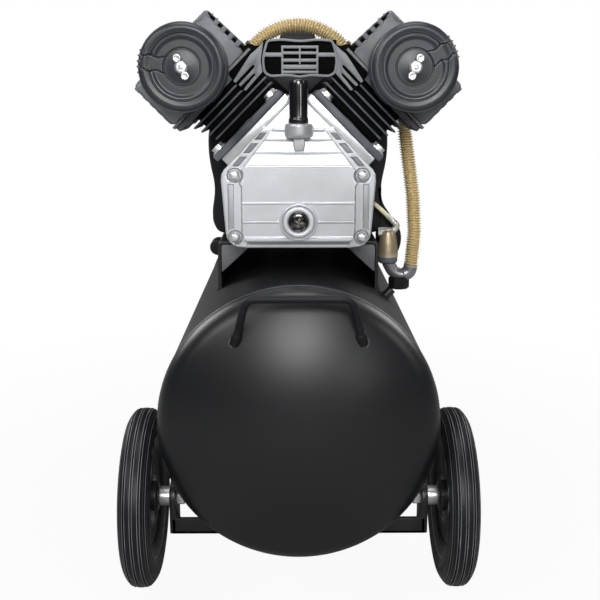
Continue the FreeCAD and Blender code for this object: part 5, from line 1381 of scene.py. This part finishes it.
class COMPRESSOR_OT_check_valve(bpy.types.Operator):
    """Turn the check valve's parts: hexagon foot, cross body, elbow and brass cap"""
    bl_idname = "compressor.check_valve"
    bl_label = "Check valve"

    def execute(self, context):
        x, y = 121.0, VALVE_Y
        foot = Skin()
        foot.add(nut(12.4, 14.0, 0, 1.8), (x - 1.0, y, 320.6))
        # painted shade: the valve foot takes the near-black recess finish
        foot.piece("valve_foot", "brass", finish="deep_recess")
        body = Skin()
        bend = route([(106, y, 360), (107, y, 351, 5), (112.5, y, 341, 9), (123, y, 335.5, 10),
                      (132, y, 340, 6),
                      (134, y, 349)], 0.8)
        body.add(tube(bend, lambda s, a: 7.4 + 0.8 * ease(33, 35, s) + 0 * a, (0, 1, 0), 32))
        body.piece("valve_elbow", "brass", ["check_valve"], finish="silver_elbow")
        ring = Skin()
        ring.add(turned([(0, 0), (9.6, 0, 1), (11.6, 2, 1), (11.6, 8.4, 0.8), (0, 8.6)], 56), (106, y, 351))
        ring.piece("valve_collar", "brass", finish="grey_cast")
        cap = Skin()
        taper = rounded([(0, 8), (12.2, 8), (12.0, 14, 1), (11.0, 24, 3), (9.2, 34, 3), (7.6, 38.4, 1),
                         (6, 39.4, 0.6),
                         (0, 39.4)])
        cap.add(revolve(taper, 72), (106, y, 351))
        cap.piece("valve_brass_cap", "brass", finish="dull_brass")
        tip = Skin()
        tip.add(nut(5.4, 13, 0, 0.8), (107, y, 388), TO_LEFT)
        tip.add(turned([(0, 0), (5.6, 0, 0.6), (5.6, 2.6, 1), (3, 4, 0.6), (0, 4.2)], 36), (106, y, 389))
        tip.piece("valve_ferrule", "brass", finish="pale_metal")
        return {"FINISHED"}


# ---------------------------------------------------------------- shroud, fan and motor
class COMPRESSOR_OT_shroud(bpy.types.Operator):
    """Mould the fan shroud and twist the fan's blades"""
    bl_idname = "compressor.shroud"
    bl_label = "Shroud and fan"

    def execute(self, context):
        low, high = reach("fan_shroud")
        half = [(0.2, -79), (62, -79, 5), (96, -76, 8), (102, -62, 5), (102, -48, 4), (98, -22, 12),
                (105, 12, 12),
                (105.8, 40, 12), (98, 72, 12), (70, 104, 14), (30, 117.6, 14), (0.2, 117.6)]
        right = rounded(half, False, 4)
        outline = np.concatenate([right, right[::-1] * [-1, 1]])
        ring = np.vstack([outline, outline[:1]])
        along = np.concatenate([[0], np.cumsum(np.linalg.norm(np.diff(ring, axis=0), axis=1))])
        marks = np.linspace(0, along[-1], 241)[:-1]
        outline = np.stack([np.interp(marks, along, ring[:, axis]) for axis in range(2)], -1)
        normal = outward(outline)
        turn = np.arctan2(outline[:, 1], outline[:, 0])
        mouth = 70 * np.stack([np.cos(turn), np.sin(turn)], -1)
        rows = []

        def at_depth(flat, y):
            return np.column_stack([flat, np.full(len(flat), y)])
        for inset, y in ((3, high[1]), (0, high[1]), (0, high[1] - 14), (0, high[1] - 16), (0, low[1] + 6),
                         (0.7, low[1] + 2.8), (2.6, low[1] + 0.8), (6, low[1])):
            rows.append(at_depth(outline - inset * normal, y))
        edge = outline - 6 * normal
        for share, y in ((0.35, low[1]), (0.7, low[1]), (0.96, low[1]), (1.0, low[1] + 1.2),
                         (1.0, low[1] + 3),
                         (0.7, low[1] + 3)):
            rows.append(at_depth(edge * (1 - share) + mouth * share, y))
        rows.append(at_depth(outline - 3 * normal, low[1] + 3))
        shroud = Skin().add(upright(np.array(rows)), (0, 0, CRANK), loop=True)
        for way in (-1, 1):
            for up in np.linspace(-36, 66, 8):
                x = np.interp(up, [-62, -48, -22, 12, 40, 72], [102, 102, 98, 105, 106, 98]) - 1.6
                shroud.add(brick((way * x - 1.4, low[1] + 10, up - 1.3),
                                 (way * x + 1.4, high[1] - 4, up + 1.3),
                                 0.9), (0, 0, CRANK))
        lobe = rounded([(96, -20, 2), (101.6, -42, 6), (112, -56, 6), (121, -68, 6), (124.5, -80, 6),
                        (123.5, -92, 6),
                        (119, -103, 5), (106, -108, 8), (95.5, -100, 4), (95, -60, 2)], True)
        shroud.add(upright(slab(lobe, low[1] + 0.5, low[1] + 30, 3.0)), (0, 0, CRANK))
        shroud.add(turned([(0, 0), (8.6, 0, 1.5), (9.8, 2, 1.5), (9.8, 22, 2), (0, 22)], 48),
                   (-96.5, low[1] + 3, 366), TO_BACK)
        shroud.piece("fan_shroud_moulded", "black_plastic", ["fan_shroud"], finish="shade_plastic")
        fan = Skin()
        start = low[1] + 12
        fan.add(turned([(0, 0), (20, 0, 2), (22, 2, 2), (22, 24, 2), (20, 26, 2), (0, 26)], 56),
                (0, start, CRANK), TO_BACK)
        span = np.linspace(0, 1, 12)
        chord = rounded([(-1, -0.5, 0.5), (1, -0.5, 0.5), (1, 0.5, 0.5), (-1, 0.5, 0.5)], True, 2)
        for index in range(8):
            radius = 20 + span * 51.5
            twist = np.radians(42 - 16 * span)
            wide = 10 + 3.5 * np.sin(np.pi * span * 0.8)
            a, b = chord[None, :, 0] * wide[:, None], chord[None, :, 1] * 2.2 + 0 * wide[:, None]
            x = a * np.cos(twist)[:, None] - b * np.sin(twist)[:, None]
            y = a * np.sin(twist)[:, None] + b * np.cos(twist)[:, None]
            blade = np.stack([x, y, radius[:, None] + 0 * x], -1)
            fan.add(put(blade, (0, 0, 0), about("Y", 45 * index)), (0, start + 13, CRANK))
        fan.piece("fan_blades_twisted", "black_plastic", ["cooling_fan"], "rotor_set")
        return {"FINISHED"}


class COMPRESSOR_OT_motor(bpy.types.Operator):
    """Build the finned motor, its end bells, its slotted cowl and the capacitor case"""
    bl_idname = "compressor.motor"
    bl_label = "Motor"

    def execute(self, context):
        low, high = reach("motor_frame")
        radius = 75.0
        frame_skin = Skin()

        def finned(r, h, a):
            """Radius with 24 cooling fins: the root plus 6 mm where the fin wave is up."""
            wave = np.abs((a * 24 / (2 * np.pi) + 0.5) % 1 - 0.5)
            fin = 1 - ease(0.07, 0.13, wave)
            return r + 6 * fin * (r > 68)
        line = rounded([(0, low[1]), (68.4, low[1]), (69, low[1] + 2), (69, high[1] - 2), (68.4, high[1]),
                        (0, high[1])])
        line[:, 1] -= low[1]
        frame_skin.add(revolve(line, 24 * 14, finned), (0, low[1], CRANK), TO_BACK)
        frame_skin.add(brick((-62, -64, 381), (62, 88, 389), 2))
        for way in (-1, 1):
            for y in (-56, 72):
                frame_skin.add(brick((way * 48 - 9, y - 4, 386), (way * 48 + 9, y + 4, 412), 2))
        frame_skin.piece("motor_frame_finned", "motor_paint", ["motor_frame"])
        bells = Skin()
        for at, turn in ((-94.0, TO_BACK), (118.0, TO_FRONT)):
            bell = rounded([(23, 0), (30, 0, 1), (34, 2.2, 1.5), (58, 1.4, 2), (67, 0.6, 1.5), (72.6, 4, 2.5),
                            (73, 6),
                            (73, 11.8), (64, 11.8), (64, 13.6), (23, 13.6)], True)
            bells.add(revolve(bell, 96), (0, at, CRANK), turn, loop=True)
            for index in range(4):
                tilt = about("Y", 45 + 90 * index)
                lug = brick((-5, -0.2, 64), (5, 9.5, 74.8), 2)
                way = 1 if at < 0 else -1
                bells.add(put(lug * [1, way, 1], (0, 0, 0), tilt), (0, at, CRANK))
        bells.piece("end_bells_cast", "cast_aluminium", ["end_bells"])
        ties = Skin()
        for index in range(4):
            tilt = about("Y", 45 + 90 * index)
            ties.add(put(put(nut(4.0, 3, 0, 0.6), (0, 118, 69.5), TO_BACK), (0, 0, 0), tilt), (0, 0, CRANK))
        ties.piece("tie_bolts", "zinc_steel")
        cowl = Skin()
        start = 118.4
        deep = reach("motor_cowl")[1][1] - start
        side = rounded([(71, 0), (74, 0, 0.8), (74, deep - 9, 6), (66, deep - 1, 4), (60, deep - 0.4, 1),
                        (60, deep - 3, 1),
                        (65, deep - 4, 2), (71, deep - 11, 2)], True)
        cowl.add(revolve(side, 120), (0, start, CRANK), TO_BACK, loop=True)
        for size in (12, 20.5, 29, 37.5, 46, 54):
            wire = rounded([(size - 1.3, deep - 3.2, 0.8), (size + 1.3, deep - 3.2, 0.8),
                            (size + 1.3, deep - 0.5, 0.8),
                            (size - 1.3, deep - 0.5, 0.8)], True, 2)
            cowl.add(revolve(wire, 96), (0, start, CRANK), TO_BACK, loop=True)
        cowl.add(turned([(0, deep - 3.4), (8, deep - 3.4, 1), (8, deep, 1), (0, deep)], 40),
                 (0, start, CRANK), TO_BACK)
        for index in range(8):
            spoke = brick((-1.6, deep - 3.0, 6), (1.6, deep - 0.7, 63), 0.8)
            cowl.add(put(spoke, (0, 0, 0), about("Y", 45 * index)), (0, start, CRANK))
        cowl.piece("motor_cowl_grille", "black_plastic", ["motor_cowl"])
        dark = Skin().add(revolve([(0, 0), (69, 0), (69, 4), (0, 4)], 72), (0, start + 4, CRANK), TO_BACK)
        for index in range(9):
            vane = brick((-1, 4, 16), (1, deep - 14, 62), 0.5)
            dark.add(put(put(vane, (0, 0, 0), about("Y", 40 * index)), (0, start + 4, CRANK)))
        # painted shade: the disc and vanes inside the cowl take the near-black recess finish
        dark.piece("cowl_inside", "black_plastic", finish="deep_recess")
        box = Skin()
        low, high = reach("capacitor_case")
        top = high[2]
        line = rounded([(-22.5, 536), (22.5, 536), (23.8, 570, 6), (23.8, top - 4, 16), (10, top, 10),
                        (-10, top, 10),
                        (-23.8, top - 4, 16), (-23.8, 570, 6)], True, 6)
        box.add(upright(slab(line, low[1] + 0.2, high[1] - 0.2, 4.0, 5)))
        for y in (low[1] + 20, high[1] - 20):
            centre = line.mean(0)
            box.add(upright(slab((line - centre) * [1.004, 1.002] + centre, y - 1.5, y + 1.5, 0.6)))
        box.piece("capacitor_housing", "black_plastic", ["capacitor_case"], finish="shade_plastic")
        return {"FINISHED"}


# ---------------------------------------------------------------- controls
class COMPRESSOR_OT_controls(bpy.types.Operator):
    """Build the manifold, regulator, gauges, pressure switch, coupler and safety valve"""
    bl_idname = "compressor.controls"
    bl_label = "Controls"

    def execute(self, context):
        y = CONTROL
        brass = Skin()
        brass.add(nut(12.8, 26, 0, 1.2), (0, y, 360.3))
        brass.add(brick((-22, y - 16, 386), (22, y + 16, 413.8), 2.4))
        brass.add(revolve([(0, 0), (8, 0), (8, 12), (0, 12)], 36), (20, y, CONTROL_UP), TO_RIGHT)
        body = rounded([(0, 0), (14, 0, 1), (17, 3, 2), (17, 26, 1), (15.5, 28, 0.8), (17, 30, 0.8),
                        (17, 33, 1),
                        (15, 34, 0.6), (0, 34)])
        brass.add(revolve(body, 64), (48, y, 384))
        brass.add(nut(9.6, 9.6, 0, 0.8), (60.4, y, CONTROL_UP), TO_RIGHT)
        for x in (0, 48):
            brass.add(nut(6.4, 8, 0, 0.6), (x, y + 18, CONTROL_UP), TO_BACK)
            brass.add(revolve([(0, 0), (4.6, 0), (4.6, 18), (0, 18)], 24), (x, y + 12, CONTROL_UP), TO_BACK)
        brass.piece("manifold_cast", "brass", ["manifold"])
        ribbed = lambda r, h, a: r - 0.9 * (r > 15) * (h > 3.5) * (h < 23) * np.clip(np.cos(a * 18), 0,
                                                                                     1) ** 2
        knob = rounded([(0, 0), (13, 0, 1), (16, 3, 1.5), (16, 4), (16, 8), (16, 22), (16, 23), (15, 26, 1.5),
                        (12, 28, 1),
                        (8, 28, 0.5), (7.4, 27, 0.5), (0, 27)])
        Skin().add(revolve(knob, 216, ribbed), (48, y, 418.4)).piece("regulator_knob_ribbed", "knob_plastic",
                                                                     ["regulator_knob"], "pressure_knob")
        cases, cards = Skin(), Skin()
        for name, x in GAUGES.items():
            at = (x, y + 30, CONTROL_UP)
            case = rounded([(0, 0), (16, 0, 1), (19.6, 2.6, 2), (20, 13, 0.6), (19.6, 15, 0.8),
                            (18.2, 15, 0.4),
                            (18.2, 9.8), (0, 9.8)])
            cases.add(revolve(case, 80), at, TO_BACK)
            cards.add(turned([(0, 9.9), (18.0, 9.9), (18.0, 10.2, 0.1), (0, 10.2)], 80), at, TO_BACK)
            needle = Skin()
            needle.add(turned([(0, 10.3), (2.2, 10.3), (2.2, 12.4, 0.8), (0, 12.9)], 28), at, TO_BACK)
            hand = rounded([(-1.3, -5, 0.6), (1.3, -5, 0.6), (0.9, 0), (0.25, 14.4, 0.1), (-0.25, 14.4, 0.1),
                            (-0.9, 0)], True, 2)
            lean = about("Y", -135)
            needle.add(put(upright(slab(hand, 11.2, 12.0, 0.15)), (0, 0, 0), lean), at)
            needle.piece(f"{name}_hand", "needle_red", [f"{name}_needle"], f"{name}_pointer")
        cases.piece("gauge_cases_pressed", "gauge_case", ["gauge_cases"])
        cards.piece("gauge_cards", "gauge_case", finish="dial")
        box = Skin()
        box.add(brick((-29.8, y - 27.8, 414.2), (29.8, y + 27.8, 424), 3, 4))
        box.add(brick((-30, y - 28, 424.6), (30, y + 28, 491.8), 7.5, 5))
        for side in (-1, 1):
            for step in range(5):
                box.add(brick((-22, side * 27.2 - 0.9 + y, 446 + 6 * step),
                              (22, side * 27.2 + 0.9 + y, 448.6 + 6 * step),
                              0.8))
        box.add(turned([(0, 0), (8, 0), (8, 5), (8, 8, 0.5), (7, 9, 0.5), (7, 14, 0.8), (4.5, 14, 0.4),
                                 (4.3, 10), (0, 10)], 60,
                        lambda r, h, a: np.where(h < 8.5, r, r - 0.25 * (r > 6.5) * (1 + np.cos(a * 20)))),
                (-29, y, 436), TO_LEFT)
        box.add(turned([(0, 0), (15.5, 0, 0.5), (15, 1.6, 0.8), (0, 1.6)], 64), (0, y, 490.8))
        box.piece("switch_housing", "knob_plastic", ["pressure_switch"])
        screws = Skin()
        for x, dy in ((-22, -20), (22, 20)):
            screws.add(turned([(0, 0), (3.6, 0), (3.6, 0.8, 0.4), (2.4, 1.9, 0.8), (0, 2.1)], 28),
                       (x, y + dy, 491))
        screws.piece("switch_screws", "zinc_steel")
        grip = lambda r, h, a: r - 0.7 * (r > 13.5) * (0.5 + 0.5 * np.cos(a * 10))
        knob = rounded([(0, -8), (6, -8), (6, 2), (12.6, 2, 0.8), (14.6, 4.6, 1.2), (14.6, 15, 1.2),
                        (12, 19.4, 2),
                        (7, 19.6, 1), (5, 18.6, 1), (0, 18.4)])
        Skin().add(revolve(knob, 160, grip), (0, y, 492)).piece("start_knob_moulded", "red_plastic",
                                                                ["switch_knob"], "start_knob")
        coupler = Skin()
        line = rounded([(5, 0), (9.4, 0, 0.4), (9.4, 8, 0.6), (8, 9.6, 0.4), (8, 33), (7.6, 33.6), (8, 34.2),
                        (8, 37, 0.6),
                        (7.2, 38, 0.4), (5.8, 38), (5, 37)], True)
        coupler.add(revolve(line, 72, lambda r, h, a: np.where(
            h < 7.9, np.minimum(r, np.maximum(hexed(9.5)(r, h, a), 5)), r)), (70.2, y, CONTROL_UP), TO_RIGHT,
                    loop=True)
        coupler.piece("coupler_body", "zinc_steel", ["quick_coupler"])
        knurl = lambda r, h, a: r - 0.35 * (r > 11.9) * (h > 15.5) * (h < 31) * (
            0.5 + 0.5 * np.cos(a * 36 + h * 2.2))
        sleeve = rounded([(8.1, 14), (11.6, 14, 0.5), (12.5, 15.6, 0.5), (12.5, 17), (12.5, 18.5),
                          (12.5, 20, 0.5),
                          (11.4, 21.5, 0.5), (11.4, 22.5, 0.5), (12.5, 24, 0.5), (12.5, 26), (12.5, 28),
                          (12.5, 30.4, 0.8), (11, 32, 0.8), (8.1, 32)], True)
        Skin().add(revolve(sleeve, 216, knurl), (70.2, y, CONTROL_UP), TO_RIGHT,
                   loop=True).piece("coupler_sleeve_knurled", "zinc_steel", ["coupler_sleeve"], "hose_sleeve")
        relief = Skin()
        line = rounded([(0, 0), (6, 0), (6, 5), (8.4, 5, 0.5), (8.4, 11, 0.5), (7.6, 12, 0.4), (8.2, 13, 0.4),
                        (8.2, 20, 1), (6.4, 24, 1), (6.4, 30, 0.5), (3.2, 30), (3.2, 22), (0, 22)])
        relief.add(revolve(line, 72, lambda r, h, a: np.where((h > 4.9) & (h < 11.5), hexed(8.6)(r, h, a),
                                                              r)),
                   (-22.1, y, CONTROL_UP), TO_LEFT)
        relief.piece("safety_valve_body", "brass", ["safety_valve"])
        ring = Skin()
        ring.add(turned([(0, 0), (2.9, 0), (2.9, 13.6, 0.6), (0, 13.8)], 28), (-43, y, CONTROL_UP), TO_LEFT)
        ring.add(bead(put(circle(8.2, 64), (-65, y, CONTROL_UP)), 1.02, (0, 0, 1), 1e9), loop=True)
        ring.piece("safety_ring_wire", "zinc_steel", ["safety_ring"], "relief_ring")
        return {"FINISHED"}


# ---------------------------------------------------------------- carried-over nodes and stage
class COMPRESSOR_OT_inside(bpy.types.Operator):
    """Give every CAD part that stays, inside and out, the finish of its slot"""
    bl_idname = "compressor.inside"
    bl_label = "Inner parts"

    def execute(self, context):
        slots = {part["node"]: part["material_slot"] for part in frame["record"]["subparts"]}
        for name, thing in frame["nodes"].items():
            finish = FINISHES[slots[name]]
            if not thing.material_slots:
                thing.data.materials.append(finish)
            for place in thing.material_slots:
                place.material = finish
        return {"FINISHED"}


class COMPRESSOR_OT_stage(bpy.types.Operator):
    """Lay the pale floor, hang the soft lights and set the camera"""
    bl_idname = "compressor.stage"
    bl_label = "Stage"

    def execute(self, context):
        scene = context.scene
        pale = tuple(scene.compressor_colours.backdrop)
        board = Board("stage_paper", Roughness=0.9, **{"Specular IOR Level": 0.1})
        grain = board.noise(30.0)
        board.give(Base_Color=board.mix(grain.clamped(0.3, 0.7), scaled(pale, 0.40), scaled(pale, 0.39)))
        x, y, _ = board.axes()
        far = ((x * x + y * y) ** 0.5).clamped(0.35, 0.95)
        seen = Wire(board, board.add("ShaderNodeLightPath").outputs["Is Camera Ray"])
        glow = board.add("ShaderNodeEmission", {}, {"Color": (1.0, 1.0, 1.0), "Strength": 1.0})
        blend = board.add("ShaderNodeMixShader", {}, [
            seen * (far * 0.06 + 0.94), board.surface.outputs["BSDF"], glow.outputs[0]])
        board.tree.links.new(blend.outputs[0], board.out.inputs["Surface"])
        u = np.linspace(-1, 1, 5)
        floor = bpy.data.meshes.new("floor")
        x, y = np.meshgrid(u * 14, u * 14)
        points = np.stack([x, y, 0 * x - 0.0002], -1).reshape(-1, 3)
        index = np.arange(25).reshape(5, 5)
        quads = grid_faces(index)
        floor.from_pydata(points.tolist(), [], quads.tolist())
        floor.materials.append(board.material)
        thing = bpy.data.objects.new("floor", floor)
        scene.collection.objects.link(thing)
        lamps = [
            ("key", (-1.6, -1.6, 1.9), (0, -0.2, 0.45), 1.1, 24.0),
            ("front", (-0.1, -2.6, 1.35), (0, -0.25, 0.40), 1.3, 12.0),
            ("upper", (0.03, -2.02, 1.13), (0, -0.27, 0.30), 0.62, 19.0),
            ("strip", (0.85, -1.9, 0.62), (0, -0.26, 0.5), 0.24, 2.4),
            ("fill", (2.1, -0.8, 1.5), (0, 0, 0.4), 0.9, 9.0),
            ("top", (0.0, -0.2, 2.6), (0, -0.1, 0.3), 1.3, 26.0),
            ("rim_left", (-2.0, 1.5, 1.5), (0, 0, 0.3), 1.2, 30.0),
            ("rim_right", (2.0, 1.6, 1.6), (0, 0, 0.35), 1.2, 28.0),
        ]
        for name, spot, aim, size, power in lamps:
            lamp = bpy.data.lights.new(name, "AREA")
            lamp.shape = "SQUARE"
            lamp.size = size
            lamp.energy = power
            light = bpy.data.objects.new(name, lamp)
            way = np.array(aim) - np.array(spot)
            light.location = spot
            light.rotation_euler = (math.atan2(math.hypot(way[0], way[1]), -way[2]), 0,
                                    math.atan2(way[1], way[0]) - math.pi / 2)
            scene.collection.objects.link(light)
        world = bpy.data.worlds.new("studio")
        world.use_nodes = True
        sky = Nodes(world.node_tree)
        rays = sky.add("ShaderNodeLightPath")
        seen = sky.add("ShaderNodeBackground", {}, {"Color": (1.0, 1.0, 1.0), "Strength": 1.0})
        around = sky.add("ShaderNodeBackground", {}, {"Color": (0.93, 0.96, 1.0), "Strength": 0.06})
        mix = sky.add("ShaderNodeMixShader", {}, [
            rays.outputs["Is Camera Ray"], around.outputs[0], seen.outputs[0]])
        sky.add("ShaderNodeOutputWorld", {}, {"Surface": mix.outputs[0]})
        scene.world = world
        scene.view_settings.view_transform = "Standard"
        lens = bpy.data.cameras.new("camera")
        lens.sensor_width = 36.0
        lens.lens = 55.36
        lens.clip_end = 60
        camera = bpy.data.objects.new("camera", lens)
        camera.location = (-0.00515, -1.24425, 0.5505)
        camera.rotation_euler = (math.radians(90 - 12.80), 0, math.radians(-0.393))
        scene.collection.objects.link(camera)
        scene.camera = camera
        return {"FINISHED"}


# ---------------------------------------------------------------- panel and running
STEPS = (
    COMPRESSOR_OT_stage, COMPRESSOR_OT_inside, COMPRESSOR_OT_tank, COMPRESSOR_OT_handles,
    COMPRESSOR_OT_wheels, COMPRESSOR_OT_running_gear, COMPRESSOR_OT_saddle, COMPRESSOR_OT_crankcase,
    COMPRESSOR_OT_cover, COMPRESSOR_OT_cylinders, COMPRESSOR_OT_heads, COMPRESSOR_OT_filters,
    COMPRESSOR_OT_air_guide, COMPRESSOR_OT_pipes, COMPRESSOR_OT_check_valve, COMPRESSOR_OT_shroud,
    COMPRESSOR_OT_motor, COMPRESSOR_OT_controls,
)


class COMPRESSOR_PT_steps(bpy.types.Panel):
    """Sizes, colours and the steps that build the compressor"""
    bl_idname = "COMPRESSOR_PT_steps"
    bl_label = "Air compressor"
    bl_space_type = "VIEW_3D"
    bl_region_type = "UI"
    bl_category = "Compressor"

    def draw(self, context):
        for group in (context.scene.compressor_sizes, context.scene.compressor_colours):
            for name in group.__annotations__:
                self.layout.prop(group, name)
        for step in STEPS:
            self.layout.operator(step.bl_idname)


CLASSES = (CompressorSizes, CompressorColours) + STEPS + (COMPRESSOR_PT_steps,)


def register():
    for kind in CLASSES:
        bpy.utils.register_class(kind)
    bpy.types.Scene.compressor_sizes = bpy.props.PointerProperty(type=CompressorSizes)
    bpy.types.Scene.compressor_colours = bpy.props.PointerProperty(type=CompressorColours)


def unregister():
    del bpy.types.Scene.compressor_colours
    del bpy.types.Scene.compressor_sizes
    for kind in reversed(CLASSES):
        bpy.utils.unregister_class(kind)


def main():
    """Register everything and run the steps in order."""
    register()
    FINISHES.update(make_finishes(bpy.context.scene.compressor_colours))
    for step in STEPS:
        family, name = step.bl_idname.split(".")
        getattr(getattr(bpy.ops, family), name)()


if __name__ == "__main__":
    main()
